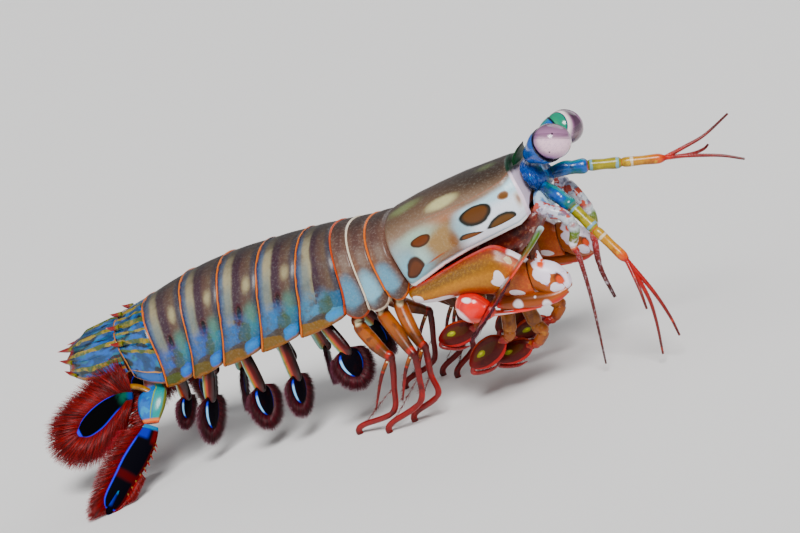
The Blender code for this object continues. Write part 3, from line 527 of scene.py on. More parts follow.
def thorax_finish(name, rim, lobe):
    """A ring of the hind thorax: pinkish brown above, pale blue below, with a thin rim and painted shadow on
    its rear face.
    """
    f = Finish(name, "725a50").wobble(0.05, 300)
    f.lay("5c4444", f.band(f.u, 0.28, 0.72, 0.15), 0.6)
    f.lay("3c2c26", f.fall(f.v, 0.04, 0.36, 0.9))
    f.ovals(
        ("9a8c80", 0.5, 0.42, 0.52, 0.22, 0.10, 0.8),
        ("8c6a54", 0.6, 0.8, 0.60, 0.16, 0.14, 0.7),
        (lobe, 0.9, 0.62, 0.77, 0.48, 0.14, 0.5),
        ("5c4438", 0.7, 0.25, 0.93, 0.4, 0.09, 0.6),
    )
    f.mottle("4a3634", "b8b0a8", 1500, 0.2)
    f.lay(RIM_DARK, f.band(f.u, 0.905, 0.928, 0.01), 0.8)
    f.lay(rim, f.step(f.u, 0.925, 0.938))
    # Painted shadow: the rim's rear face, where the next ring tucks under it
    f.lay(RIM_DARK, f.step(f.u, 0.986, 0.994))
    f.lay(rim, f.band(f.v, 0.985, 1.06, 0.012))
    f.lay("5a2c18", f.step(f.v, 1.08, 1.14))
    f.grain(2600, 0.35).grain(700, 0.5)
    return f.done(0.36, 0.06, under=0.05, shine=0.3)


# The armoured body

# Where the rings meet: top (x, z), lower edge (x, z), half width and bow of the joint
JOINTS = (
    ((0.0022, 0.0534), (0.0062, 0.0335), 0.0158, 0.0004),
    ((-0.0033, 0.0532), (0.0004, 0.0325), 0.0158, 0.0006),
    ((-0.0088, 0.0535), (-0.0062, 0.0306), 0.0158, 0.0014),
    ((-0.0134, 0.0538), (-0.0132, 0.0310), 0.0158, 0.0020),
    ((-0.0226, 0.0541), (-0.0272, 0.0292), 0.0160, 0.0012),
    ((-0.0347, 0.0539), (-0.0395, 0.0279), 0.0160, 0.0015),
    ((-0.0474, 0.0533), (-0.0518, 0.0265), 0.0158, 0.0019),
    ((-0.0606, 0.0512), (-0.0618, 0.0251), 0.0154, 0.0023),
    ((-0.0744, 0.0474), (-0.0712, 0.0242), 0.0145, 0.0024),
    ((-0.0844, 0.0448), (-0.0802, 0.0288), 0.0134, 0.0010),
)
WIDEST_HEIGHT = 0.45
STERNUM_HEIGHT = 0.15
PLEURON_WALL = 0.0019
RING_STEPS = 6
EDGE_PLACE = 9


def section(joint, girth=1.0, lift=None):
    """The outline of the body at a joint. lift(v) raises the surface, where v is 1 at the lower edge."""
    (top_x, top_z), (low_x, low_z), half_width, bow = joint
    arch = [math.radians(a) for a in (15, 30, 45, 60, 75, 90)]
    side = [(math.sin(a) ** 0.92, WIDEST_HEIGHT + (1 - WIDEST_HEIGHT) * math.cos(a)) for a in arch]
    side += [(0.995, STERNUM_HEIGHT + 0.06), (0.975, 0.13), (0.93, 0.0)]
    wall = PLEURON_WALL / half_width
    half = side + [(0.93 - wall, 0.0), (0.96 - wall, STERNUM_HEIGHT)]
    outline = [(0.0, 1.0), *half, (0.0, STERNUM_HEIGHT), *[(-y, h) for y, h in reversed(half)]]
    smooth = round_curve([Vector((y, h, 0)) for y, h in outline], RING_STEPS)
    count = len(smooth)
    ring = []
    for k, (y, h, _) in enumerate(smooth):
        v = round_place(k, count)
        height = low_z + (top_z - low_z) * (WIDEST_HEIGHT + (h - WIDEST_HEIGHT) * girth)
        share = WIDEST_HEIGHT + (h - WIDEST_HEIGHT) * girth
        x = low_x + (top_x - low_x) * share + bow * 4 * share * (1 - share)
        point = Vector((x, -y * half_width * girth, height))
        if lift:
            before, after = smooth[k - 1], smooth[(k + 1) % count]
            rise, run = after.y - before.y, after.x - before.x
            point += Vector((0, -rise * (top_z - low_z), -run * half_width)).normalized() * lift(v)
        ring.append(point)
    return ring


def round_place(k, count):
    """Where a point of a section lies between the midline, 0, and the lower edge, 1, on either side."""
    at = k / RING_STEPS
    return min(at, count / RING_STEPS - at) / EDGE_PLACE


def section_turns(count):
    """The v of each column of a section's skin."""
    return [round_place(k % count, count) for k in range(count + 1)]


def between(front, rear, share):
    """A joint's values part way from one joint to the next."""
    top, low = [[blend(a, b, share) for a, b in zip(front[k], rear[k])] for k in (0, 1)]
    return top, low, blend(front[2], rear[2], share), blend(front[3], rear[3], share)


FRONT_TUCK = 0.945
RIM_START = 0.948


def ring_girth(u):
    """Girth along a ring: tucked in at the front, a groove and then a rounded bead at the rear."""
    girth = FRONT_TUCK + (1 - FRONT_TUCK) * ease(-0.08, 0.12, u) + 0.012 * hump(0.5, 0.35, u)
    girth -= 0.006 * hump(RIM_START - 0.01, 0.014, u)
    bead = max(0.0, 1 - ((u - 0.978) / 0.028) ** 2)
    return girth + 0.022 * math.sqrt(bead)


def body_ring(name, front, rear, finish, lobe, ridge=None):
    """One ring of armour. lobe(u) is how far the lower edge is drawn up there; ridge(u, v) lifts the back."""
    us = [-0.07 + 0.045 * k for k in range(21)]
    us += [0.885, 0.905, 0.925, 0.938, 0.948, 0.951, 0.956, 0.965, 0.978, 0.990, 0.999, 1.003]
    rings = []
    for u in us:
        joint = between(front, rear, u)
        ring = section(joint, ring_girth(u), (lambda v: ridge(u, v)) if ridge else None)
        for k, p in enumerate(ring):
            v = round_place(k, len(ring))
            p.z += lobe(u) * ease(0.72, 1.0, v) * (1 - ease(1.15, 1.28, v))
        rings.append(ring)
    return paint(sleeve(name, rings, us, section_turns(len(rings[0]))), finish)


def slanted_lobe(u):
    """The lower edge of an abdominal ring, lowest near its rear corner."""
    return 0.0011 * (1 - u) ** 2 + 0.0006 * ease(0.93, 1.0, u)


def round_lobe(u):
    """The rounded lower lobe of a thoracic ring."""
    return 0.0019 * abs(2 * u - 0.95) ** 2.4


def body_rings():
    """The abdomen's first five rings and the three hind rings of the thorax."""
    shades = (
        ("abdomen_1", "5c98b8", "8c6c14", 0.12, 0.0),
        ("abdomen_2", "3484b8", "846810", 0.02, 0.8),
        ("abdomen_3", "1478b4", "806410", 0.0, 1.0),
        ("abdomen_4", "0870b8", "70600c", 0.0, 1.0),
        ("abdomen_5", "0868b8", "586008", 0.0, 1.0),
    )
    for k, (name, blue, gold, wide_stripe, spotted) in enumerate(shades):
        finish = abdomen_finish(name + "_shell", blue, gold, wide_stripe, spotted)
        put(body_ring(name, JOINTS[k + 3], JOINTS[k + 4], finish, slanted_lobe), name)
    shades = (
        ("thorax_6", "d9822a", "7ca8bc"),
        ("thorax_7", "e6dccb", "98c4d4"),
        ("thorax_8", "c2601c", "6c9cb4"),
    )
    for k, (name, rim, lobe) in enumerate(shades):
        finish = thorax_finish(name + "_shell", rim, lobe)
        put(body_ring(name, JOINTS[k], JOINTS[k + 1], finish, round_lobe), name)


RIDGE_ANGLES = (14, 42, 70)
ANGLE_TO_V = 1 / 135


def tail_finish(name, ridges, oblique=True):
    """Bright blue and teal with dark hollows, olive-yellow ridges and a gold rim."""
    f = Finish(name, "0a4c74").wobble(0.05, 300)
    f.lay("0868ac", f.step(f.noise(1, 1.0, f.stretched(3.4, 9)), 0.44, 0.56), 0.95)
    f.lay("0c8490", f.step(f.noise(1.3, 1.0, f.stretched(3, 8)), 0.52, 0.64), 0.7)
    f.lay("020806", f.step(f.noise(1.1, 1.5, f.stretched(2.6, 9)), 0.50, 0.60), 0.95)
    if not oblique:
        f.lay("06140c", f.step(f.u, 0.45, 1.0), 0.75)
    for v, width in ridges:
        lean = f.both(f.u, 0.05 if oblique else 0.0)
        streak = f.ragged(f.band(f.sum("ADD", f.v, lean), v - width, v + width, 0.02), 300, 0.3)
        f.lay("56640a", streak, 0.95)
        f.lay("a08c10", f.both(streak, f.step(f.noise(420, 2.0), 0.45, 0.6)), 0.85)
    f.mottle("04141c", "38b0cc", 1300, 0.08)
    return f


def surface_point(front, rear, share, angle, lift=0.0):
    """A point on a ring's back, at an angle in degrees from the midline, lifted outwards."""
    (top_x, top_z), (low_x, low_z), half_width, bow = between(front, rear, share)
    a = math.radians(angle)
    h = WIDEST_HEIGHT + (1 - WIDEST_HEIGHT) * math.cos(a)
    y = math.copysign(abs(math.sin(a)) ** 0.92, a) * (half_width + lift)
    x = low_x + (top_x - low_x) * h + bow * 4 * h * (1 - h)
    return Vector((x, y, low_z + (top_z - low_z) * h + lift * math.cos(a)))


def spine_finish():
    """A spine: olive at the root, crimson, and pink at the tip."""
    f = Finish("spine", "8c1810")
    f.lay("d8908c", f.step(f.u, 0.80, 0.98))
    f.lay("7c8414", f.fall(f.u, 0.0, 0.35, 0.9))
    f.grain(1800, 0.3)
    return f.done(0.3, 0.4)


def sixth_ring(spines):
    """The last ring before the tail plate: ridged along its back, each ridge ending in a spine."""
    front, rear = JOINTS[-2], JOINTS[-1]

    def ridge(u, v):
        lift = 0.0
        for angle in RIDGE_ANGLES:
            lift += 0.0009 * hump(angle * ANGLE_TO_V + 0.012, 0.022, v) * ease(0.12, 0.5, u)
        run = ease(0.2, 0.6, u) * ease(1.0, 0.8, u) if u < 1 else 0
        for angle in (28, 56, 84):
            lift += 0.0004 * hump(angle * ANGLE_TO_V, 0.018, v) * run
        return lift

    ridges = ((0.12, 0.022), (0.23, 0.012), (0.325, 0.024), (0.43, 0.012), (0.54, 0.024), (0.66, 0.016))
    f = tail_finish("abdomen_6_shell", ridges)
    f.lay("0870b0", f.spot(0.35, 0.92, 0.40, 0.11, 0.5), 0.9)
    f.lay("c8962e", f.line((0.0, 0.80), (1.0, 0.84), 0.016))
    f.lay("a87418", f.step(f.u, 0.950, 0.960))
    f.lay("c07c1c", f.band(f.v, 0.985, 1.04, 0.012), 0.9)
    f.lay("3a2b20", f.step(f.v, 1.1, 1.16))
    f.grain(2400, 0.4).grain(700, 0.5)
    pieces = [body_ring("ring", front, rear, f.done(0.26, 0.5), slanted_lobe, ridge)]
    for angle in RIDGE_ANGLES:
        for side in (-1, 1):
            start = surface_point(front, rear, 0.80, side * angle, 0.0002)
            end = surface_point(front, rear, 0.99, side * angle, 0.0008)
            tip = end + (end - start).normalized() * 0.0016 + Vector((0, 0, 0.0005))
            pieces.append(tube("spine", (start, end, tip), (0.0007, 0.00058, 0.0001), spines, 12))
    put(gathered("abdomen_6", pieces), "abdomen_6")


TELSON_ROOT = Vector((-0.0840, 0.0, 0.0436))
TELSON_PITCH = math.radians(10)
TELSON_LENGTH = 0.0186
TELSON_BACK = Vector((-math.cos(TELSON_PITCH), 0.0, -math.sin(TELSON_PITCH)))
TELSON_UP = Vector((-math.sin(TELSON_PITCH), 0.0, math.cos(TELSON_PITCH)))
# Share of the length, half width and drop of the sides
TELSON_STATIONS = (
    (0.0, 0.0122, 0.0120),
    (0.25, 0.0126, 0.0120),
    (0.55, 0.0122, 0.0112),
    (0.8, 0.0110, 0.0098),
    (1.0, 0.0090, 0.0080),
)
# Place across the back, start and end along it, and height
CRESTS = (
    (0.0, 0.06, 0.92, 0.0013),
    (0.3, 0.10, 0.86, 0.0010),
    (0.56, 0.10, 0.95, 0.0011),
    (0.84, 0.06, 0.95, 0.0010),
)
# Place across the edge, length and radius
TEETH = ((0.30, 0.0050, 0.0018), (0.62, 0.0042, 0.0016), (0.90, 0.0034, 0.0013))


def telson_point(share, sideways, lift=0.0):
    """A point of the telson's back: share along its length, sideways from -1 to 1 across it."""
    k = max(i for i in range(4) if TELSON_STATIONS[i][0] <= max(share, 0)) if share < 1 else 3
    a, b = TELSON_STATIONS[k], TELSON_STATIONS[k + 1]
    t = (share - a[0]) / (b[0] - a[0])
    half_width, drop = blend(a[1], b[1], t), blend(a[2], b[2], t)
    base = TELSON_ROOT + TELSON_BACK * TELSON_LENGTH * share
    down = drop * (1 - math.cos(sideways * math.pi / 2))
    return base + Vector((0, half_width * math.sin(sideways * math.pi / 2), 0)) + TELSON_UP * (lift - down)


def telson(spines):
    """The tail plate: crests along its back, and a toothed edge that ends in spines."""
    across = [-1 + k / 60 for k in range(121)]

    def reach(s):
        return 0.93 + sum(0.10 * max(0.0, 1 - abs(abs(s) - middle) / 0.13) ** 1.4 for middle, _, _ in TEETH)

    def lift(share, s):
        total = 0.0
        for middle, start, end, height in CRESTS:
            run = ease(start - 0.05, start + 0.18, share) * (1 - ease(end - 0.2, end + 0.06, share))
            total += height * run * hump(middle, 0.045, abs(s))
        total += 0.0004 * hump(0.43, 0.03, abs(s)) * ease(0.25, 0.5, share) * (1 - ease(0.7, 0.9, share))
        total += 0.0004 * hump(0.70, 0.03, abs(s)) * ease(0.2, 0.4, share) * (1 - ease(0.8, 0.95, share))
        return total

    us = [k / 48 for k in range(49)]
    rings = []
    for u in us:
        depth = blend(0.0030, 0.0013, u)
        over = [telson_point(u * reach(s), s, lift(u, s)) for s in across]
        under = [telson_point(u * reach(s), s, -depth * (1 - 0.6 * s * s)) for s in reversed(across[1:-1])]
        rings.append(over + under)
    count = len(rings[0])
    turns = [abs(s) for s in across] + [1.5 - 0.5 * abs(across[count - k]) for k in range(len(across), count)]
    f = tail_finish("telson_shell", [(0.0, 0.03), (0.30, 0.035), (0.56, 0.035), (0.84, 0.035)], False)
    f.lay("8c1c14", f.step(f.u, 0.88, 1.0), 0.8)
    f.lay("a07814", f.band(f.v, 0.955, 1.0, 0.012), 0.9)
    f.lay("083c50", f.band(f.v, 1.015, 1.06, 0.012), 0.9)
    f.lay("2a1a1c", f.step(f.v, 1.06, 1.1))
    f.grain(2400, 0.4).grain(700, 0.5)
    pieces = [paint(sleeve("plate", rings, us, turns + [turns[0]]), f.done(0.26, 0.5))]
    for sideways, length, radius in TEETH:
        for side in (-1, 1):
            root = telson_point(0.90, side * sideways, -0.0007)
            edge = telson_point(1.0, side * sideways, -0.0005)
            tip = edge + (edge - root).normalized() * length * 0.97
            line = (root, edge, edge.lerp(tip, 0.5), tip)
            radii = (radius * 0.7, radius * 0.72, radius * 0.42, 0.0001)
            pieces.append(tube("tooth", line, radii, spines, 16, 0.55))
    put(gathered("telson", pieces), "telson")


# The shield and the head

CARAPACE_STATIONS = (
    ((0.0030, 0.0536), (0.0072, 0.0358), 0.0166, 0.0002),
    ((0.0040, 0.0540), (0.0086, 0.0357), 0.0170, 0.0004),
    ((0.0105, 0.0556), (0.0128, 0.0372), 0.0168, 0.0002),
    ((0.0175, 0.0569), (0.0180, 0.0392), 0.0162, 0.0000),
    ((0.0245, 0.0580), (0.0250, 0.0410), 0.0152, 0.0000),
    ((0.0310, 0.0587), (0.0325, 0.0424), 0.0140, 0.0004),
    ((0.0360, 0.0592), (0.0392, 0.0436), 0.0126, 0.0010),
    ((0.0385, 0.0594), (0.0420, 0.0452), 0.0112, 0.0016),
)
SHIELD_STEPS = 8


def shield_joint(at):
    """The shield's station values at a place counted in stations, filled in smoothly."""
    k = min(int(at), len(CARAPACE_STATIONS) - 2)
    return between(CARAPACE_STATIONS[k], CARAPACE_STATIONS[k + 1], at - k)


# Place on the skin map, half sizes, turn in degrees, and the colours of the ring and the core
SHIELD_SPOTS = (
    (0.667, 0.648, 0.086, 0.090, -6, "262418", "6c480c"),
    (0.780, 0.800, 0.088, 0.070, -16, "20261a", "70500c"),
    (0.842, 0.590, 0.040, 0.052, 0, "a08878", "7c5834"),
    (0.612, 0.800, 0.070, 0.034, 30, "2c2418", "7c5010"),
    (0.342, 0.634, 0.070, 0.052, 20, "543408", "74440a"),
    (0.222, 0.815, 0.112, 0.082, 114, "4c2c08", "6c400a"),
)


def shield_finish():
    """The shield: dark brown above, pale blue at both ends, ringed brown spots and a white lower edge."""
    f = Finish("shield", "7c6858").wobble(0.012, 420)
    off = f.sum("SUBTRACT", f.u, 0.60)
    bow = f.both(f.both(off, off), 0.9)
    below_groove = f.sum("SUBTRACT", f.sum("ADD", f.v, bow), 0.48)
    f.lay("9c8878", f.step(f.v, 0.30, 0.50), 0.6)
    f.lay("4c392e", f.fall(f.v, 0.05, 0.40, 0.95))
    f.ovals(
        ("332a26", 0.8, 0.80, 0.12, 0.30, 0.26, 0.5),
        ("86906a", 0.8, 0.25, 0.17, 0.09, 0.06, 0.7),
        ("c4c09a", 0.95, 0.50, 0.355, 0.085, 0.062, 0.45, 8),
        ("7c8a66", 0.45, 0.76, 0.10, 0.06, 0.05, 0.8),
        ("ac7c60", 0.7, 0.44, 0.545, 0.15, 0.05, 0.8),
        ("a48a64", 0.9, 0.43, 0.73, 0.13, 0.15, 0.5),
    )
    front = f.both(f.step(below_groove, 0.02, 0.10), f.step(f.u, 0.52, 0.63))
    f.lay("bcd8e2", front)
    f.lay("f2f4fc", f.both(front, f.step(f.v, 0.56, 0.70)), 0.85)
    f.ovals(
        ("8fb8c4", 0.7, 0.585, 0.72, 0.05, 0.10, 0.8),
        ("a9bfb2", 0.9, 0.31, 0.58, 0.13, 0.085, 0.6),
        ("a4b8bc", 0.8, 0.14, 0.70, 0.12, 0.16, 0.7),
        ("94bcc8", 0.95, 0.20, 0.84, 0.17, 0.16, 0.5),
        ("b9cfc8", 0.8, 0.31, 0.74, 0.05, 0.07, 0.8),
        ("8c6014", 0.85, 0.525, 0.765, 0.026, 0.066, 0.6),
        ("a8611a", 0.95, 0.40, 0.845, 0.060, 0.026, 0.5),
    )
    f.lay("a86a54", f.both(f.band(below_groove, -0.006, 0.003, 0.010), f.step(f.u, 0.3, 0.45)), 0.5)
    f.mottle("5c4a40", "c8c8c0", 1700, 0.12)
    for u, v, half_u, half_v, turn, edge, core in SHIELD_SPOTS:
        gap = f.away(u, v, half_u, half_v, turn)
        f.lay(edge, f.fall(gap, 0.92, 1.08))
        f.lay(core, f.fall(gap, 0.62, 0.88))
    f.ovals(
        ("b8923c", 0.55, 0.945, 0.70, 0.035, 0.06, 0.7),
        ("8a4c10", 0.6, 0.945, 0.70, 0.014, 0.028, 0.7),
    )
    f.lay("b4dce8", f.step(f.v, 0.940, 0.960), 0.6)
    f.lay("ffffff", f.step(f.v, 0.958, 0.972))
    f.lay("d9823a", f.fall(f.u, 0.014, 0.026))
    f.lay("e8d8e4", f.both(f.step(f.u, 0.955, 0.975), f.step(f.v, 0.30, 0.42)))
    f.lay("123c2c", f.both(f.step(f.u, 0.95, 0.965), f.fall(f.v, 0.30, 0.42)))
    f.lay("5a2c18", f.step(f.v, 1.06, 1.12))
    f.grain(2600, 0.3).grain(600, 0.4)
    return f.done(0.34, 0.1, under=0.05)


def carapace():
    """The shield, with a groove along its side, a bead round its edge and a shallow lip at both ends."""
    last = (len(CARAPACE_STATIONS) - 1) * SHIELD_STEPS
    stations = [shield_joint(k / SHIELD_STEPS) for k in range(last + 1)]

    def lift_at(k):
        u = k / last

        def lift(v):
            groove = -0.00028 * hump(0.48 - 0.9 * (u - 0.60) ** 2, 0.016, v) * ease(0.05, 0.2, u)
            rim = 0.00040 * hump(0.985, 0.035, v)
            edge = 0.0003 * (hump(0.02, 0.03, u) + 0.8 * hump(0.985, 0.02, u))
            return groove + rim + edge

        return lift

    rings = [section(joint, 0.972 if k == 0 else 1.0, lift_at(k)) for k, joint in enumerate(stations)]
    us = [k / last for k in range(last + 1)]
    put(paint(sleeve("carapace", rings, us, section_turns(len(rings[0]))), shield_finish()), "carapace")


def stalk_finish():
    """An eye stalk: bright blue at the side, teal-green on top, streaked, with a dark line at the eye."""
    f = Finish("stalk", "1464b4").wobble(0.05, 300)
    side = f.off_middle()
    f.lay("4aa0e0", f.step(f.noise(300, 3.0, f.stretched(5, 9)), 0.52, 0.68), 0.75)
    f.lay("0a2c6c", f.step(f.noise(4, 3.0, f.stretched(3, 14)), 0.56, 0.66), 0.8)
    f.lay("0c9884", f.step(side, 0.40, 0.49), 0.85)
    f.lay("0a1438", f.step(f.u, 0.90, 0.96))
    f.lay("0c3464", f.fall(f.u, 0.0, 0.16), 0.8)
    f.grain(2400, 0.3)
    return f.done(0.22, 0.6)


def head_finish():
    """Deep blue with paler folds and dark lines."""
    f = Finish("head_blue", "0e4f96").wobble(0.05, 300)
    f.lay("07285c", f.step(f.noise(260, 3.0), 0.48, 0.60), 0.85)
    f.lay("4aa4dc", f.step(f.noise(330, 3.0, rough=0.6), 0.57, 0.68), 0.8)
    f.lay("10807c", f.step(f.noise(210, 2.0), 0.58, 0.70), 0.5)
    f.mottle("04142c", "9cd8f0", 1600, 0.10)
    f.grain(1200, 0.2).grain(500, 0.5)
    return f.done(0.28, 0.4)


def head(blue):
    """The blue brow between the eyes in its folds, the pale lip below it and the green plate above."""
    stations = (
        (0.0, 0.0064, 0.0042),
        (0.0014, 0.0070, 0.0050),
        (0.0032, 0.0062, 0.0047),
        (0.0048, 0.0040, 0.0032),
    )
    brow = []
    for step in range(25):
        reach, half_width, half_height = station(stations, step / 8)
        ring = []
        for a in circle(48):
            fold = 1 + 0.035 * math.sin(9 * a + 60 * reach / 0.005)
            z = 0.0528 + half_height * 0.88 * fold * math.sin(a)
            x = 0.0427 - 0.42 * max(0.0, z - 0.052) + reach
            ring.append((x, half_width * 0.94 * fold * math.cos(a), z))
        brow.append(ring)
    lip_line = ((0.0428, 0, 0.0460), (0.0442, 0, 0.0460), (0.0458, 0, 0.0458), (0.0470, 0, 0.0455))
    lip = tube("lip", lip_line, (0.0070, 0.0078, 0.0060, 0.0028), blue, 40, 0.5)
    pale = Finish("lip_pale", "b9cfe0").wobble(0.04, 300)
    pale.lay("5a86b4", pale.step(pale.noise(420), 0.5, 0.64), 0.8)
    pale.grain(2000, 0.4)
    paint(lip, pale.done(0.32, 0.3))
    put(gathered("head", [paint(sleeve("brow", brow), blue), lip]), "head")
    green = Finish("rostral_green", "0a4c2c").wobble(0.04, 300)
    green.lay("1c6c48", green.step(green.noise(500), 0.52, 0.66), 0.6)
    green.lay("040806", green.step(green.u, 0.6, 0.9))
    green.grain(2000, 0.4)
    line = ((0.0406, 0, 0.0576), (0.0409, 0, 0.0590), (0.0416, 0, 0.0604), (0.0430, 0, 0.0618))
    matt = green.done(0.5, shine=0.15)
    put(tube("rostral_plate", line, (0.0062, 0.0064, 0.0042, 0.0004), matt, 40, 0.1), "rostral_plate")


def thorax_underside():
    """The soft underside that the limbs hang from, dark red with pale flecks and shallow folds."""
    soft = Finish("underside", "7c2c14").wobble(0.05, 300)
    soft.lay("4c0c08", soft.step(soft.noise(200), 0.48, 0.6), 0.8)
    soft.lay("d8c0b8", soft.step(soft.noise(420, 3.0), 0.6, 0.7), 0.6)
    soft.mottle("4c140c", "c88c68", 1200, 0.3)
    soft.grain(1500, 0.6)
    stations = (
        (0.0080, 0.0381, 0.0328, 0.0095),
        (0.0160, 0.0408, 0.0324, 0.0100),
        (0.0260, 0.0432, 0.0330, 0.0095),
        (0.0350, 0.0448, 0.0350, 0.0085),
        (0.0400, 0.0458, 0.0382, 0.0074),
        (0.0424, 0.0458, 0.0412, 0.0060),
    )
    rings = []
    for step in range(61):
        x, top, low, half_width = station(stations, step / 12)
        middle, half = (top + low) / 2, (top - low) / 2
        half *= 1 - 0.05 * abs(math.sin(step * math.pi / 6))
        turn = [2 * math.pi * (s + 0.5) / 48 for s in range(48)]
        heights = [max(-1.0, min(1.0, 1.25 * math.sin(a))) for a in turn]
        rings.append([(x, half_width * math.cos(a), middle + half * h) for a, h in zip(turn, heights)])
    put(paint(sleeve("thorax_underside", rings), soft.done(0.45, 0.2, under=0.15)), "thorax_underside")


EYE_RADIUS = 0.0050
EYE_ROOT = Vector((0.0446, -0.0036, 0.0585))
EYE_CENTRE = Vector((0.0526, -0.0076, 0.0612))
EYE_BAND = Vector((0.228, 0.304, 0.925))
EYE_CAP = Vector((-0.45, 0.80, 0.40))
# The direction towards the camera, for the painted shade on the eye
EYE_TOWARD_CAMERA = Vector((0.42, -0.88, 0.21))
PUPILS = ((0.0543, -0.0113, 0.0638), (0.0524, -0.0122, 0.0595))


def eye_finish():
    """Mauve above a level band of fine dark lines, pale pink below it, two tiny pupils, a plum edge and
    painted plum shade round the side turned away from the camera.
    """
    f = Finish("cornea", "ecd0dc")
    height = f.along(EYE_CENTRE, EYE_BAND, EYE_RADIUS)
    streaks = f.noise(9, 2.0, f.stretched(1.0, 14))
    f.lay("a98cb4", f.step(streaks, 0.5, 0.62), 0.35)
    f.lay("9468a4", f.fall(height, -1.0, -0.45, 0.75))
    f.lay("8c6488", f.step(height, -0.08, 0.30), 0.85)
    f.lay("54304c", f.step(height, 0.40, 0.95), 0.85)
    for level in (0.10, 0.17, 0.24, 0.31):
        f.lay("3c1c30", f.band(height, level - 0.012, level + 0.012, 0.010), 0.7)
    f.lay("3c1838", f.fall(f.u, 0.02, 0.09))
    f.lay("7c4c8c", f.fall(f.u, 0.10, 0.34, 0.6))
    for point in PUPILS:
        f.lay("08040a", f.ball(point, 0.00026, 0.3, 0.0))
    cap = f.along(EYE_CENTRE, EYE_CAP, EYE_RADIUS)
    f.lay("f4e4e4", f.step(cap, 0.30, 0.52), 0.9)
    f.lay("0c1c60", f.step(cap, 0.575, 0.60))
    f.lay("08947c", f.step(cap, 0.615, 0.65))
    f.lay("0c8cb4", f.both(f.step(cap, 0.615, 0.65), f.step(height, 0.35, -0.1)), 0.8)
    f.lay("10b884", f.step(cap, 0.78, 1.0), 0.5)
    # Painted shade: dark plum where the ball turns away from the camera, outside the cap
    view = f.along(EYE_CENTRE, EYE_TOWARD_CAMERA, EYE_RADIUS)
    f.lay("281024", f.both(f.step(view, 0.34, 0.20), f.step(cap, 0.4, 0.2)), 0.75)
    return f.done(0.16, 0.45)


def eye(side, finish, stalk_finish):
    """An eye on its stalk: a ball pressed a little along its band, with a raised cap."""
    root, centre = mirrored((EYE_ROOT, EYE_CENTRE), side)
    ahead = (centre - root).normalized()
    neck = centre - ahead * EYE_RADIUS * 0.45
    line = (root, root.lerp(neck, 0.3), root.lerp(neck, 0.7), neck + ahead * 0.0002)
    radii = (0.0021, 0.0030, 0.0043, 0.0047)
    stalk = tube(f"eye_stalk_{label(side)}", line, radii, stalk_finish, 48, across=(0, 0, 1), steps=10)
    put(stalk, f"eye_stalk_{label(side)}")
    level, cap_axis = mirrored((EYE_BAND, EYE_CAP), side)
    wide = squared(ahead, (0, 0, 1))
    deep = ahead.cross(wide)
    rings = []
    for k in range(41):
        a = math.radians(-27 + 116.5 * k / 40)
        ring = []
        for b in circle(96):
            out = ahead * math.sin(a) * 0.93 + (wide * math.cos(b) + deep * math.sin(b)) * math.cos(a)
            cap = ease(0.57, 0.66, out.dot(cap_axis))
            out -= level * level.dot(out) * 0.10
            ring.append(centre + out * EYE_RADIUS * (1 + 0.025 * cap))
        rings.append(ring)
    put(paint(sleeve(f"eye_{label(side)}", rings), finish), f"eye_{label(side)}")


# Feelers

ANTENNULE_RIGHT = (
    (0.0482, -0.0056, 0.0482),
    (0.0524, -0.0078, 0.0438),
    (0.0569, -0.0100, 0.0374),
    (0.0627, -0.0120, 0.0285),
)
ANTENNULE_LEFT = (
    (0.0488, 0.0042, 0.0516),
    (0.0555, 0.0060, 0.0503),
    (0.0637, 0.0080, 0.0484),
    (0.0740, 0.0100, 0.0463),
)
FLAGELLA_RIGHT = (
    ((0.0654, -0.0130, 0.0187), (0.0658, -0.0136, 0.0119), (0.0650, -0.0140, 0.0030)),
    ((0.0668, -0.0120, 0.0190), (0.0690, -0.0120, 0.0118), (0.0700, -0.0122, 0.0062)),
    ((0.0645, -0.0150, 0.0215), (0.0652, -0.0166, 0.0160)),
)
FLAGELLA_LEFT = (
    ((0.0798, 0.0110, 0.0475), (0.0853, 0.0130, 0.0488), (0.0921, 0.0150, 0.0522)),
    ((0.0793, 0.0100, 0.0455), (0.0880, 0.0100, 0.0433), (0.0939, 0.0100, 0.0408)),
    ((0.0800, 0.0125, 0.0450), (0.0835, 0.0142, 0.0450), (0.0851, 0.0150, 0.0458)),
)


HEAD_ROOT = Vector((0.0440, 0.0, 0.0512))
WHIP_RADII = (0.00072, 0.00030)
WHIP_RINGS = 26


def whip(points, finish):
    """One of an antennule's whips, of many short rings."""
    last = len(points) - 1
    radii = [blend(WHIP_RADII[0], WHIP_RADII[1], k / last) for k in range(last + 1)]

    def swell(u, _):
        return 0.10 * math.sin(2 * math.pi * WHIP_RINGS * u * last / 2)

    return tube("whip", points, radii, finish, 10, steps=40, swell=swell)




def antennule(side, stalk, whips, lengths, whip_finish):
    """A first feeler: three stout lengths and then three thin ringed whips."""
    pieces = []
    radii = ((0.0019, 0.0017), (0.0015, 0.0013), (0.0013, 0.0011))
    for k, (wide, narrow) in enumerate(radii):
        a, b = Vector(stalk[k]), Vector(stalk[k + 1])
        reach = (b - a).normalized()
        inner = HEAD_ROOT - Vector((0, side * -0.0024, 0)) if k == 0 else a - reach * 0.0002
        points = (inner, a.lerp(b, 0.12), a.lerp(b, 0.5), a.lerp(b, 0.88), b + reach * 0.0004)
        girths = (wide * 0.62, wide, wide * 0.92, narrow * 1.18, narrow * 0.7)
        pieces.append(tube("length", points, girths, lengths[k], 28, steps=6))
    fork = Vector(stalk[3])
    before = fork - (fork - Vector(stalk[2])).normalized() * 0.0012
    for path in whips:
        pieces.append(whip((before, fork, *path), whip_finish))
    name = f"antennule_{label(side)}"
    put(gathered(name, pieces), name)


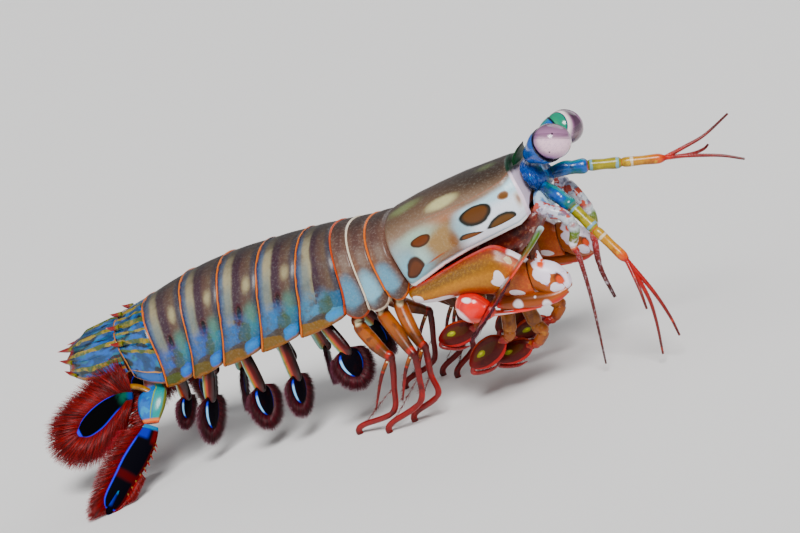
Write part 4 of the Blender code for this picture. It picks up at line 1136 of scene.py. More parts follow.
ANTENNA_RIGHT = (
    (0.0444, -0.0098, 0.0466), (0.0470, -0.0110, 0.0450), (0.0505, -0.0112, 0.0430),
    (0.0522, -0.0113, 0.0390), (0.0506, -0.0112, 0.0350), (0.0511, -0.0110, 0.0318),
    (0.0508, -0.0110, 0.0199), (0.0490, -0.0103, 0.0026),
)
ANTENNA_LEFT = (
    (0.0444, 0.0098, 0.0470), (0.0472, 0.0106, 0.0460), (0.0505, 0.0092, 0.0410), (0.0516, 0.0094, 0.0359),
    (0.0505, 0.0094, 0.0301), (0.0497, 0.0092, 0.0224), (0.0511, 0.0090, 0.0138),
)
ANTENNA_RADII = (0.0017, 0.0018, 0.0016, 0.0014, 0.0010, 0.0007, 0.00045, 0.00025)


def antenna(side, line, finish):
    """A second feeler: stout speckled lengths and then one ringed whip."""
    name = f"antenna_{label(side)}"
    count = len(line)

    def swell(u, _):
        at = u * (count - 1)
        return 0.07 * math.sin(2 * math.pi * at * 16) * ease(4.6, 5.2, at)

    joints = (1.05, 2.6, 4.1, 4.9)
    put(tube(name, line, ANTENNA_RADII[:count], finish, 20, steps=48, joints=joints, swell=swell), name)


# Bristles

BRISTLE_SIDES = 3
BRISTLE_TAPER = ((0.0, 1.0), (0.5, 0.72), (1.0, 0.12))


def bristles(roots, finish, width, bend=0.12):
    """One mesh of fine tapered bristles. Each root is (point, direction, length, place along, place across).

    The skin map's v runs from root to tip. The bake map gives each bristle a patch at its root's own place.
    """
    mesh = bpy.data.meshes.new("hairs")
    points, faces, skin, bake = [], [], [], []
    sides = BRISTLE_SIDES
    for point, direction, length, place_u, place_v in roots:
        ahead = Vector(direction).normalized()
        aside = ahead.orthogonal().normalized()
        aside.rotate(Matrix.Rotation(dice.uniform(0, 6.28), 3, ahead))
        wide = ahead.cross(aside)
        size = width * dice.uniform(0.8, 1.15)
        shade = dice.random()
        first = len(points)
        for share, girth in BRISTLE_TAPER:
            middle = Vector(point) + ahead * length * share + aside * length * bend * share * share
            for a in circle(sides):
                points.append(place(middle + (aside * math.cos(a) + wide * math.sin(a)) * size * 0.5 * girth))
        for r in range(len(BRISTLE_TAPER) - 1):
            for s in range(sides):
                a, b = first + r * sides + s, first + r * sides + (s + 1) % sides
                faces.append((a, b, b + sides, a + sides))
                low, high = BRISTLE_TAPER[r][0], BRISTLE_TAPER[r + 1][0]
                skin += [(shade, low), (shade, low), (shade, high), (shade, high)]
                for du, dv in ((0, low), (1, low), (1, high), (0, high)):
                    bake.append((place_u + du * BAKE_PATCH, place_v + dv * BAKE_PATCH))
        last = first + (len(BRISTLE_TAPER) - 1) * sides
        for cap, share in ((range(first, first + sides)[::-1], 0.0), (range(last, last + sides), 1.0)):
            faces.append(tuple(cap))
            skin += [(shade, share)] * sides
            bake += [(place_u, place_v), (place_u + BAKE_PATCH, place_v), (place_u, place_v + BAKE_PATCH)]
    mesh.from_pydata(points, [], faces)
    for title, values in ((SKIN_MAP, skin), (BAKE_MAP, bake)):
        layer = mesh.uv_layers.new(name=title)
        layer.data.foreach_set("uv", [n for pair in values for n in pair])
    mesh.shade_smooth()
    piece = bpy.data.objects.new("hairs", mesh)
    bpy.context.scene.collection.objects.link(piece)
    return paint(piece, finish)


def banded(name, stops, dark, light):
    """A finish whose colour runs through stops along the piece, with soft patches."""
    f = Finish(name).wobble(0.03, 300)
    f.colour = f.ramp(f.u, *stops)
    f.lay(dark, f.step(f.noise(330, 3.0), 0.54, 0.66), 0.55)
    f.lay(light, f.step(f.noise(460, 3.0), 0.58, 0.70), 0.45)
    f.mottle(dark, light, 1500, 0.18)
    f.grain(2200, 0.35)
    return f


def feeler_finishes():
    """The three lengths of an antennule's stalk."""
    stops = ((0.0, "0c3c60"), (0.4, "1460a8"), (0.84, "1464a8"), (0.92, "a8540c"), (1.0, "7c3c08"))
    first = banded("feeler_blue", stops, "0a4438", "3c94d0")
    first.lay("0c3c24", first.fall(first.v, 0.12, 0.30, 0.7))
    first.lay("0c7c6c", first.step(first.noise(260, 3.0), 0.46, 0.60), 0.8)
    first.lay("18988c", first.spot(0.45, 0.30, 0.35, 0.05, 0.8), 0.8)
    stops = ((0.0, "7c4c0c"), (0.12, "7c8414"), (0.5, "a89c10"), (0.9, "989010"), (0.97, "d0502c"))
    second = banded("feeler_olive", stops, "5c6408", "c8bc38")
    for at in (0.24, 0.76):
        second.lay("80b4d0", second.ragged(second.band(second.u, at - 0.04, at + 0.04, 0.05), 700, 1.1), 0.7)
    stops = ((0.0, "b8480c"), (0.14, "b09410"), (0.5, "c09008"), (0.80, "cc640c"), (1.0, "b0200c"))
    third = banded("feeler_yellow", stops, "8c5c08", "e0c850")
    third.lay("eceee4", third.ragged(third.band(third.u, 0.33, 0.37, 0.03), 700, 1.2), 0.5)
    return first.done(0.26, 0.3), second.done(0.30, 0.15), third.done(0.30, 0.15)


def antenna_finish():
    """A second feeler: white with brown and lavender spots, olive, a white band, orange and crimson."""
    stops = (
        (0.0, "c8c4d4"), (0.42, "c4ccd0"), (0.46, "6c8420"), (0.53, "7c7c10"), (0.545, "eceaf0"),
        (0.575, "e8e0e4"), (0.60, "c8700c"), (0.66, "a0240c"), (0.80, "6c0810"), (1.0, "4c0610"),
    )
    f = banded("antenna_skin", stops, "7c2c20", "f4f0f8")
    peduncle = f.fall(f.u, 0.36, 0.42)
    f.lay("b8540c", f.both(peduncle, f.step(f.noise(420, 2.0), 0.51, 0.57)), 0.95)
    f.lay("6c7088", f.both(peduncle, f.step(f.noise(520, 2.0), 0.58, 0.62)), 0.7)
    return f.done(0.3, 0.2)


def whip_finish():
    """The whips: orange at the fork, then crimson."""
    stops = ((0.0, "c8441c"), (0.3, "b0200c"), (0.7, "7c0c14"), (1.0, "5c0a18"))
    return banded("whip_skin", stops, "4c0610", "d85c3c").done(0.28, 0.4)


def scale_finish():
    """An antennal scale: pale at the root, olive, orange-red, then black-red with pink edges."""
    stops = (
        (0.0, "b8d0d0"), (0.10, "5c8018"), (0.28, "6c6c10"), (0.42, "b03c10"),
        (0.56, "380806"), (0.8, "24030c"), (1.0, "5c0824"),
    )
    f = banded("scale_skin", stops, "2c0c0c", "a87c50")
    edge = f.step(f.off_middle(), 0.38, 0.46)
    f.lay("d8541c", f.both(edge, f.band(f.u, 0.30, 0.66, 0.06)), 0.9)
    f.lay("b82458", f.both(edge, f.step(f.u, 0.64, 0.76)), 0.9)
    return f.done(0.28, 0.45)


def limb_finishes():
    """The small arms below the mouth, their pads, and the walking legs with a painted highlight streak."""
    stops = ((0.0, "6c2c0c"), (0.3, "94640c"), (0.7, "a0600c"), (0.86, "9c1c0c"), (1.0, "8c100c"))
    arm = banded("limb_gold", stops, "5c1808", "c89414")
    arm.ovals(
        ("f4ecdc", 1.0, 0.30, 0.80, 0.07, 0.14, 0.3),
        ("d8d890", 0.85, 0.55, 0.86, 0.035, 0.06, 0.5),
        ("a81808", 0.6, 0.65, 0.55, 0.4, 0.10, 0.6),
    )
    pad = banded("pad_red", ((0.0, "6c1008"), (0.5, "581008"), (1.0, "780c08")), "300404", "6c3408")
    pad.lay("5c400c", pad.ragged(pad.spot(0.50, 0.42, 0.26, 0.20, 0.8), 420, 0.9), 0.6)
    pad.lay("94980c", pad.ragged(pad.spot(0.56, 0.42, 0.08, 0.10, 0.8), 600, 0.8), 0.95)
    pad.lay("dcd85c", pad.spot(0.55, 0.40, 0.03, 0.03, 0.8), 0.6)
    pad.lay("a0440c", pad.ragged(pad.fall(pad.v, 0.03, 0.13), 600, 0.6), 0.9)
    pad.lay("b80c0c", pad.ragged(pad.step(pad.v, 0.84, 0.96), 600, 0.4), 0.95)
    pad.lay("c8a010", pad.step(pad.u, 0.90, 0.98), 0.85)
    stops = (
        (0.0, "5c1c0c"), (0.10, "84480c"), (0.20, "a0640c"), (0.34, "684008"),
        (0.42, "540a06"), (0.55, "7c0810"), (0.8, "8c0814"), (1.0, "5c060c"),
    )
    leg = banded("leg_skin", stops, "24030a", "a8241c")
    leg.lay("f0e8c8", leg.spot(0.125, 0.42, 0.022, 0.10, 0.4), 0.95)
    leg.lay("c8440c", leg.band(leg.u, 0.36, 0.40, 0.02), 0.6)
    # Painted highlight: a lighter red streak along one side of the lower leg
    leg.lay("c81c18", leg.both(leg.step(leg.u, 0.5, 0.6), leg.spot(0.7, 0.30, 0.3, 0.03, 0.7)), 0.6)
    return arm.done(0.34, 0.12), pad.done(0.36, 0.06, shine=0.2), leg.done(0.34, 0.10)


def paddle_finishes():
    """A swimming paddle's stem, and its plate with an ice-blue crescent along the rear edge."""
    f = Finish("paddle_stem").wobble(0.04, 300)
    f.colour = f.ramp(
        f.v,
        (0.0, "d8f0e8"), (0.16, "b8e4dc"), (0.26, "9cb48c"), (0.38, "b08c18"),
        (0.52, "a8480c"), (0.70, "5c100a"), (1.0, "280406"),
    )
    f.lay("5c1408", f.step(f.noise(420, 3.0), 0.55, 0.68), 0.4)
    f.lay("7c1c0c", f.fall(f.u, 0.0, 0.2, 0.8))
    f.grain(2000, 0.3)
    plate = Finish("paddle_plate", "0a0414").wobble(0.02, 300)
    plate.lay("24040c", plate.step(plate.noise(300, 3.0), 0.5, 0.66), 0.7)
    plate.lay("3c0818", plate.step(plate.u, 0.86, 0.98), 0.7)
    edge = plate.band(plate.v, 0.045, 0.135, 0.02)
    plate.lay("0c30d8", plate.both(edge, plate.band(plate.u, 0.22, 0.90, 0.04)))
    plate.lay("a8dcff", plate.both(edge, plate.band(plate.u, 0.34, 0.76, 0.06)))
    far_edge = plate.band(plate.v, 0.93, 0.965, 0.015)
    plate.lay("2440b8", plate.both(far_edge, plate.band(plate.u, 0.35, 0.75, 0.06)), 0.8)
    plate.grain(1800, 0.3)
    return f.done(0.28, 0.3), plate.done(0.6, 0.0, shine=0.05)


def fan_finishes():
    """The tail fan: its blue stem, and the outer and inner paddles, nearly black with violet-blue edges."""
    stem = Finish("fan_stem", "0874b4").wobble(0.03, 300)
    stem.lay("0c4c94", stem.step(stem.noise(260, 3.0), 0.50, 0.64), 0.7)
    stem.lay("1c9c94", stem.step(stem.v, 0.60, 0.72), 0.9)
    stem.lay("30a8c8", stem.step(stem.noise(420, 3.0), 0.58, 0.70), 0.5)
    slant = stem.sum("ADD", stem.v, stem.both(stem.u, 0.16))
    stem.lay("94a818", stem.band(slant, 0.70, 0.745, 0.015))
    stem.lay("7c7c0c", stem.step(stem.v, 0.93, 0.97), 0.95)
    stem.lay("0a2c5c", stem.fall(stem.v, 0.02, 0.10, 0.8))
    stem.lay("c8601c", stem.step(stem.u, 0.90, 0.94))
    stem.lay("e8a06c", stem.band(stem.u, 0.93, 0.97, 0.015), 0.7)
    stem.lay("9c5c24", stem.fall(stem.u, 0.16, 0.24, 0.9))
    stem.grain(2200, 0.3)
    outer = Finish("fan_outer", "060414").wobble(0.02, 300)
    outer.lay("0c80a8", outer.fall(outer.u, 0.08, 0.13))
    upper, lower = outer.step(outer.v, 0.35, 0.6), outer.step(outer.v, 0.35, 0.2)
    outer.lay("0c34a8", outer.both(outer.band(outer.u, 0.10, 0.27, 0.03), upper), 0.9)
    outer.lay("6c0810", outer.both(outer.band(outer.u, 0.10, 0.30, 0.04), lower), 0.9)
    outer.lay("5c0614", outer.both(outer.step(outer.v, 0.14, 0.04), outer.step(outer.u, 0.2, 0.3)), 0.9)
    outer.lay("5c0818", outer.band(outer.u, 0.60, 0.66, 0.02), 0.8)
    outer.lay("2c14e0", outer.both(outer.step(outer.v, 0.90, 0.95), outer.step(outer.u, 0.24, 0.34)))
    outer.lay("2814c8", outer.step(outer.u, 0.965, 0.985))
    outer.grain(1800, 0.3)
    inner = Finish("fan_inner", "040208").wobble(0.015, 300)
    cloudy = inner.step(inner.noise(300), 0.42, 0.56)
    inner.lay("0c6454", inner.both(inner.step(inner.u, 0.34, 0.16), cloudy), 0.9)
    inner.lay("0c3c8c", inner.step(inner.u, 0.14, 0.04), 0.8)
    rim = inner.step(inner.off_middle(), 0.43, 0.47)
    inner.lay("2c14e4", inner.both(rim, inner.step(inner.u, 0.28, 0.42)))
    inner.lay("2c14e4", inner.step(inner.u, 0.925, 0.95))
    inner.grain(1800, 0.3)
    return stem.done(0.28, 0.2), outer.done(0.7, 0.0, shine=0.03), inner.done(0.7, 0.0, shine=0.03)


def bristle_finish(name, dark, bright, tip, share=0.88):
    """Bristles from dark to bright, shaded at the root, with a paler tip past this share of their length."""
    f = Finish(name, dark)
    f.lay(bright, f.step(f.u, 0.1, 0.9), 0.85)
    f.lay("1c0208", f.fall(f.v, 0.0, 0.25, 0.45))
    f.lay(tip, f.step(f.v, share, share + 0.1), 0.6)
    return f.done(0.40, 0.0)


# Blades: paddles, plates and pads

THINNEST_BLADE = 0.0001
BRISTLE_CLEAR = 0.0005


def blade(name, points, half_widths, across, thickness, finish, rows=48, steps=10, dish=0.0):
    """A flat plate with rounded edges along a smooth line. dish hollows its face, as a share of its width."""
    line = along(points, steps)
    widths = spread(half_widths, steps)
    depths = spread(thickness, steps)
    rings = []
    for k, p in enumerate(line):
        wide, deep = axes(line, k, across)
        half = max(widths[k], THINNEST_BLADE)
        ring = []
        for a in circle(rows):
            sag = dish * half * (1 - math.cos(a) * math.cos(a))
            ring.append(p + wide * half * math.cos(a) + deep * (depths[k] * 0.5 * math.sin(a) + sag))
        rings.append(ring)
    turns = [0.5 + 0.5 * math.cos(a) for a in circle(rows, 1)]
    return paint(sleeve(name, rings, None, turns), finish)


def edge_run(points, half_widths, across, count, length, first, other_first, short=1.0, layers=3, fan=0.9):
    """Roots of the bristles round the far end of a blade, as the bristles function takes them.

    first and other_first say how far along each edge they start. short is their length on the other edge, as
    a share of that on the first. fan is how far they lean outwards.
    """
    line = along(points, 8)
    widths = spread(half_widths, 8)
    ahead_end = (line[-1] - line[-3]).normalized()
    found = []
    for n in range(count):
        turn = -1 + 2 * (n + 0.5) / count
        side = math.copysign(1, turn)
        start = first if turn > 0 else other_first
        share = 1 - (1 - start) * abs(turn) ** 1.3
        at = share * (len(line) - 1)
        k = min(int(at), len(line) - 2)
        ahead = (line[k + 1] - line[k]).normalized()
        wide = squared(ahead, across)
        face = ahead.cross(wide)
        root = point_on(line, at) + wide * side * value_on(widths, at) * 0.9 * min(1.0, abs(turn) * 6)
        lean = ahead.lerp(ahead_end, 1 - abs(turn)) * (1.0 - 0.45 * abs(turn))
        lean += wide * side * fan * abs(turn) ** 0.7
        for layer in range(layers):
            drift = Vector((dice.gauss(0, 1), dice.gauss(0, 1), dice.gauss(0, 1))) * 0.05
            direction = (lean.normalized() + drift + face * 0.05 * (layer - (layers - 1) / 2)).normalized()
            reach = length * (1 + (short - 1) * max(0.0, -turn)) * dice.uniform(0.86, 1.04)
            end = root + direction * reach
            if end.z < BRISTLE_CLEAR:
                reach *= max(0.2, (root.z - BRISTLE_CLEAR) / max(1e-6, root.z - end.z))
            place_v = 0.1 + 0.25 * layer + 0.1 * dice.random()
            found.append((root, direction, reach, 0.02 + 0.95 * (n / count), place_v))
    return found


# Limbs

SCALE_RIGHT = (
    (0.0448, -0.0142, 0.0418), (0.0425, -0.0199, 0.0393), (0.0382, -0.0239, 0.0355),
    (0.0346, -0.0247, 0.0324), (0.0301, -0.0252, 0.0283), (0.0244, -0.0255, 0.0230),
)
SCALE_WIDTHS = (0.0012, 0.0022, 0.0032, 0.0038, 0.0036, 0.0014)


def antennal_scale(side, finish, hair):
    """The flat scale beside a feeler, in its fringe."""
    line = mirrored(SCALE_RIGHT, side)
    across = Vector((0.45, 0.85 * side, 0.2))
    name = f"antennal_scale_{label(side)}"
    depths = (0.0016, 0.0013, 0.0011, 0.0010, 0.0009, 0.0006)
    plate = blade("plate", line, SCALE_WIDTHS, across, depths, finish)
    roots = edge_run(line, SCALE_WIDTHS, across, 240, 0.0036, 0.45, 0.45, 0.8)
    put(gathered(name, [plate, bristles(roots, hair, 0.00016)]), name)


# Along the claw: x, top, underside, half depth and middle y
MERUS = (
    (0.0058, 0.0345, 0.0325, 0.0012, -0.0136),
    (0.0074, 0.0353, 0.0309, 0.0028, -0.0138),
    (0.0120, 0.0364, 0.0301, 0.0040, -0.0142),
    (0.0200, 0.0387, 0.0302, 0.0046, -0.0150),
    (0.0270, 0.0405, 0.0293, 0.0044, -0.0162),
    (0.0320, 0.0412, 0.0276, 0.0041, -0.0168),
    (0.0356, 0.0392, 0.0266, 0.0037, -0.0168),
    (0.0395, 0.0357, 0.0262, 0.0030, -0.0166),
)
CARPUS = (
    (0.0399, 0.0354, 0.0272, 0.0030, -0.0166),
    (0.0430, 0.0346, 0.0252, 0.0034, -0.0164),
    (0.0462, 0.0328, 0.0250, 0.0030, -0.0160),
    (0.0484, 0.0296, 0.0260, 0.0016, -0.0156),
)
PROPODUS = (
    (0.0474, -0.0168, 0.0258), (0.0440, -0.0176, 0.0250), (0.0400, -0.0180, 0.0252),
    (0.0350, -0.0182, 0.0260), (0.0310, -0.0184, 0.0267), (0.0292, -0.0186, 0.0270),
)
PROPODUS_RADII = (0.0010, 0.0017, 0.0019, 0.0019, 0.0018, 0.0013)
CLUB = (
    (0.0190, -0.0190, 0.0290), (0.0202, -0.0192, 0.0286), (0.0232, -0.0194, 0.0272),
    (0.0262, -0.0194, 0.0258), (0.0282, -0.0192, 0.0249),
)
CLUB_RADII = (0.0014, 0.0031, 0.0039, 0.0027, 0.0010)
FINGER = (
    (0.0262, -0.0193, 0.0250), (0.0310, -0.0190, 0.0242),
    (0.0360, -0.0186, 0.0236), (0.0400, -0.0182, 0.0232),
)
HIP = ((0.0120, -0.0102, 0.0345), (0.0125, -0.0120, 0.0345), (0.0130, -0.0140, 0.0344))
SPUR = ((0.0424, -0.0166, 0.0332), (0.0425, -0.0163, 0.0352), (0.0427, -0.0160, 0.0371))
FINGER_RADII = (0.0010, 0.0006, 0.0005, 0.0002)


def swollen(name, stations, side, finish, lift=None):
    """A swollen part of the claw from its side outline: x, top, underside, half depth and middle y.

    Its skin map is seen from the side: v runs up the outer face.
    """
    columns = [spread(column, 10) for column in zip(*stations)]
    last = len(columns[0]) - 1
    rings = []
    for k, (x, top, low, depth, middle_y) in enumerate(zip(*columns)):
        middle, half = (top + low) / 2, (top - low) / 2
        ring = []
        for a in circle(72):
            more = 1 + (lift(k / last, math.sin(a)) if lift else 0)
            y = middle_y - depth * math.cos(a) * more
            ring.append((x, -y * side, middle + half * math.sin(a) * more))
        rings.append(ring)
    turns = [0.5 + 0.5 * math.sin(a) for a in circle(72, 1)]
    return paint(sleeve(name, rings, None, turns), finish)


# White patches: place on the skin map, half sizes and turn in degrees
ARM_WHITES = (
    (0.738, 0.470, 0.044, 0.140, 0),
    (0.715, 0.360, 0.062, 0.085, 6),
    (0.752, 0.380, 0.045, 0.100, 0),
    (0.722, 0.425, 0.040, 0.105, 0),
    (0.845, 0.140, 0.070, 0.080, 0),
    (0.180, 0.340, 0.060, 0.220, 0),
    (0.270, 0.140, 0.130, 0.120, 0),
)
WRIST_WHITES = (
    (0.32, 0.64, 0.22, 0.22, 10),
    (0.55, 0.90, 0.45, 0.16, 0),
    (0.92, 0.55, 0.13, 0.50, 0),
    (0.62, 0.28, 0.18, 0.18, 0),
)
HAND_WHITES = (
    ((0.0349, -0.0197, 0.0257), 0.0013),
    ((0.0419, -0.0190, 0.0241), 0.0012),
    ((0.0395, -0.0192, 0.0262), 0.0005),
)


def claw_finishes():
    """The four finishes of a raptorial claw: arm, wrist, hand and club."""
    white = "f4ecf0"
    arm = Finish("claw_arm", "a4700c").wobble(0.03, 300)
    arm.ovals(
        ("be8c10", 0.8, 0.50, 0.45, 0.26, 0.22, 0.8),
        ("6c5426", 0.75, 0.38, 0.74, 0.34, 0.16, 0.7),
    )
    pitted = arm.step(arm.noise(2600), 0.5, 0.6)
    arm.lay("a88c70", arm.both(arm.spot(0.36, 0.80, 0.24, 0.10, 0.9), pitted), 0.35)
    arm.lay("b85c0c", arm.fall(arm.v, 0.10, 0.36, 0.95))
    arm.lay("c0640c", arm.step(arm.u, 0.74, 0.92), 0.85)
    arm.lay("84340c", arm.step(arm.v, 0.82, 0.94), 0.85)
    arm.lay("b82000", arm.step(arm.v, 0.94, 0.98))
    arm.mottle("5c3408", "e0b040", 1500, 0.2)
    for u, v, half_u, half_v, turn in ARM_WHITES:
        arm.lay(white, arm.ragged(arm.spot(u, v, half_u, half_v, 0.4, turn), 700, 0.5))
    arm.lay("ccc49c", arm.ragged(arm.spot(0.865, 0.85, 0.035, 0.06, 0.8), 900, 1.0), 0.7)
    arm.lay(white, arm.both(arm.step(arm.u, 0.84, 0.88), arm.step(arm.v, 0.93, 0.96)))
    arm.lay(white, arm.both(arm.fall(arm.u, 0.44, 0.52), arm.fall(arm.v, 0.05, 0.10)))
    arm.grain(2400, 0.3)
    wrist = Finish("claw_wrist", "ac680c").wobble(0.12, 420)
    for u, v, half_u, half_v, turn in WRIST_WHITES:
        wrist.lay("ece4f0", wrist.ragged(wrist.spot(u, v, half_u, half_v, 0.4, turn), 520, 1.0))
    wrist.lay("9488b4", wrist.step(wrist.noise(520, 2.0), 0.60, 0.72), 0.4)
    wrist.ovals(
        ("d8660c", 1.0, 0.34, 0.93, 0.09, 0.10, 0.4),
        ("5c3010", 1.0, 0.74, 0.60, 0.14, 0.18, 0.4),
        ("d0600c", 1.0, 0.76, 0.55, 0.12, 0.15, 0.3),
    )
    wrist.grain(2000, 0.4)
    hand = Finish("claw_hand", "a8600c").wobble(0.03, 400)
    hand.lay("6c4410", hand.spot(0.45, 0.60, 0.22, 0.09, 0.7), 0.8)
    hand.lay("c82408", hand.along((0.0400, -0.0180, 0.0245), (0.12, 0, -1), 0.0010), 0.9)
    hand.lay("d41c04", hand.step(hand.u, 0.76, 0.94))
    for point, size in HAND_WHITES:
        hand.lay(white, hand.ball(point, size))
    hand.grain(2400, 0.3)
    club = Finish("claw_club", "c81404").wobble(0.03, 300)
    club.lay("e86858", club.along((0.0232, -0.0194, 0.0262), (0.1, 0, -1), 0.0024), 0.85)
    club.lay("f4a08c", club.fall(club.u, 0.10, 0.24, 0.7))
    core = club.away(0.56, 0.22, 0.22, 0.11)
    club.lay("f00c04", club.fall(core, 0.6, 1.2))
    club.lay("e86040", club.band(core, 1.25, 1.36, 0.05), 0.5)
    club.ovals(
        (white, 1.0, 0.38, 0.125, 0.085, 0.035, 0.3),
        ("f8e4e8", 1.0, 0.30, 0.335, 0.18, 0.065, 0.35, 14),
    )
    club.grain(2400, 0.25)
    return arm.done(0.36, 0.08), wrist.done(0.36, 0.08), hand.done(0.34, 0.12), club.done(0.22, 0.4)


def raptorial_claw(side, arm_finish, wrist_finish, hand_finish, club_finish):
    """A folded claw: the arm, the wrist and hand under it, and the red club with its finger."""
    end = label(side)

    def keel(u, height):
        ridge = 0.035 * hump(0.93, 0.05, height) * ease(0.3, 0.6, u)
        return ridge - 0.03 * hump(0.72, 0.07, height) * ease(0.35, 0.6, u)

    arm = swollen("arm", MERUS, side, arm_finish, keel)
    hip = tube("hip", mirrored(HIP, side), (0.0014, 0.0015, 0.0016), arm_finish, across=(1, 0, 0))
    put(gathered(f"raptorial_arm_{end}", [arm, hip]), f"raptorial_arm_{end}")
    wrist = swollen("wrist", CARPUS, side, wrist_finish)
    hand = tube("hand", mirrored(PROPODUS, side), PROPODUS_RADII, hand_finish, 40)
    spur = tube("spur", mirrored(SPUR, side), (0.0013, 0.0009, 0.0002), wrist_finish, 20, across=(1, 0, 0))
    put(gathered(f"raptorial_hand_{end}", [wrist, hand, spur]), f"raptorial_hand_{end}")
    club = tube("club", mirrored(CLUB, side), CLUB_RADII, club_finish, 64, 0.78, (0, 0, 1), 14)
    finger = tube("finger", mirrored(FINGER, side), FINGER_RADII, club_finish, 24, 0.8, (0, 0, 1))
    put(gathered(f"raptorial_club_{end}", [club, finger]), f"raptorial_club_{end}")


# Name, line of the arm, ends of the pad and its half width
MAXILLIPEDS = (
    (
        "maxilliped_3",
        (
            (0.0350, -0.0062, 0.0342), (0.0335, -0.0098, 0.0250), (0.0346, -0.0102, 0.0170),
            (0.0356, -0.0103, 0.0146), (0.0330, -0.0098, 0.0118),
        ),
        ((0.0316, -0.0096, 0.0120), (0.0208, -0.0092, 0.0096)),
        0.0030,
    ),
    (
        "maxilliped_4",
        (
            (0.0280, -0.0072, 0.0322), (0.0290, -0.0122, 0.0235),
            (0.0282, -0.0136, 0.0175), (0.0270, -0.0138, 0.0162),
        ),
        ((0.0262, -0.0138, 0.0160), (0.0150, -0.0138, 0.0108)),
        0.0036,
    ),
    (
        "maxilliped_5",
        ((0.0200, -0.0072, 0.0322), (0.0222, -0.0100, 0.0262), (0.0208, -0.0132, 0.0212)),
        ((0.0196, -0.0134, 0.0206), (0.0088, -0.0132, 0.0194)),
        0.0032,
    ),
)


ARM_RADII = (0.0015, 0.0018, 0.0019, 0.0017, 0.0013)
# Share along the pad, share of its half width, and thickness
PAD_STATIONS = (
    (-0.02, 0.12, 0.0006), (0.05, 0.50, 0.0018), (0.20, 0.86, 0.0024), (0.40, 1.00, 0.0025),
    (0.60, 0.97, 0.0024), (0.80, 0.72, 0.0020), (0.95, 0.34, 0.0012), (1.00, 0.05, 0.0004),
)


def maxilliped(name, arm, pad, half_width, side, arm_finish, pad_finish, hook_finish, hair):
    """A small folded arm below the mouth, with an oval pad, a hooked tip and a brush of bristles."""
    arm = mirrored(arm, side)
    start, end = mirrored(pad, side)
    radii = (*ARM_RADII[-len(arm) :], 0.0012)
    joints = [k + 0.98 for k in range(len(arm) - 1)]
    limb = tube("limb", (*arm, start.lerp(end, 0.12)), radii, arm_finish, 28, 0.9, (1, 0, 0), 10, joints)
    down = Vector((0.35, 0.25 * side, -0.9))
    line = [start.lerp(end, share) for share, _, _ in PAD_STATIONS]
    sizes = [half_width * width for _, width, _ in PAD_STATIONS]
    palm = blade("palm", line, sizes, down, [depth for _, _, depth in PAD_STATIONS], pad_finish, 56, 8)
    hook_line = (
        start.lerp(end, 0.86),
        start.lerp(end, 0.97) + Vector((0, 0, -half_width * 0.55)),
        start.lerp(end, 0.55) + Vector((0, 0, -half_width * 1.22)),
        start.lerp(end, 0.25) + Vector((0, 0, -half_width * 1.30)),
    )
    hook = tube("hook", hook_line, (0.0007, 0.0006, 0.0005, 0.0001), hook_finish, 16)
    roots = []
    out = (end - start).normalized()
    for n in range(150):
        t = dice.uniform(0.15, 0.95)
        p = start.lerp(end, t) + Vector((0, 0, -half_width * 0.8 * math.sin(math.pi * min(1, t))))
        p += Vector((0, dice.uniform(-0.0006, 0.0006), 0))
        lean = Vector((dice.uniform(-0.5, 0.5), dice.uniform(-0.4, 0.4), -1)) + out * 0.3
        roots.append((p, lean, dice.uniform(0.0010, 0.0019), n / 160, 0.5 + 0.3 * dice.random()))
    name = f"{name}_{label(side)}"
    put(gathered(name, [limb, palm, hook, bristles(roots, hair, 0.00011)]), name)


# The ring that carries the leg, its line, and the place of its foot on the floor
LEGS = (
    (
        0,
        (
            (0.0012, -0.0110, 0.0318), (0.0030, -0.0146, 0.0258), (0.0050, -0.0164, 0.0210),
            (0.0060, -0.0166, 0.0192), (0.0053, -0.0172, 0.0123), (0.0056, -0.0178, 0.0066),
        ),
        (-0.0040, -0.0152),
    ),
    (
        1,
        (
            (-0.0044, -0.0110, 0.0302), (-0.0008, -0.0156, 0.0258), (0.0026, -0.0192, 0.0210),
            (0.0040, -0.0204, 0.0188), (0.0033, -0.0203, 0.0133), (0.0014, -0.0206, 0.0066),
        ),
        (-0.0098, -0.0200),
    ),
    (
        2,
        (
            (-0.0118, -0.0112, 0.0288), (-0.0080, -0.0150, 0.0236), (-0.0046, -0.0176, 0.0204),
            (-0.0033, -0.0180, 0.0190), (-0.0050, -0.0185, 0.0117), (-0.0075, -0.0190, 0.0050),
        ),
        (-0.0200, -0.0156),
    ),
)
LEG_RADII = (0.0012, 0.0018, 0.0019, 0.0014, 0.0010, 0.0008, 0.0008)
LEFT_FOOT_SHIFT = 0.0036
FOOT_RADIUS = 0.0011
FOOT_HEIGHT = 0.0012
GAP = 0.0003


def sternum_point(segment, share, sideways):
    """A point on the underside plate of a body ring, by its share of the ring's length."""
    (top_x, top_z), (low_x, low_z), _, bow = between(JOINTS[segment], JOINTS[segment + 1], share)
    h = STERNUM_HEIGHT
    x = low_x + (top_x - low_x) * h + bow * 4 * h * (1 - h)
    return Vector((x, sideways, low_z + (top_z - low_z) * h))


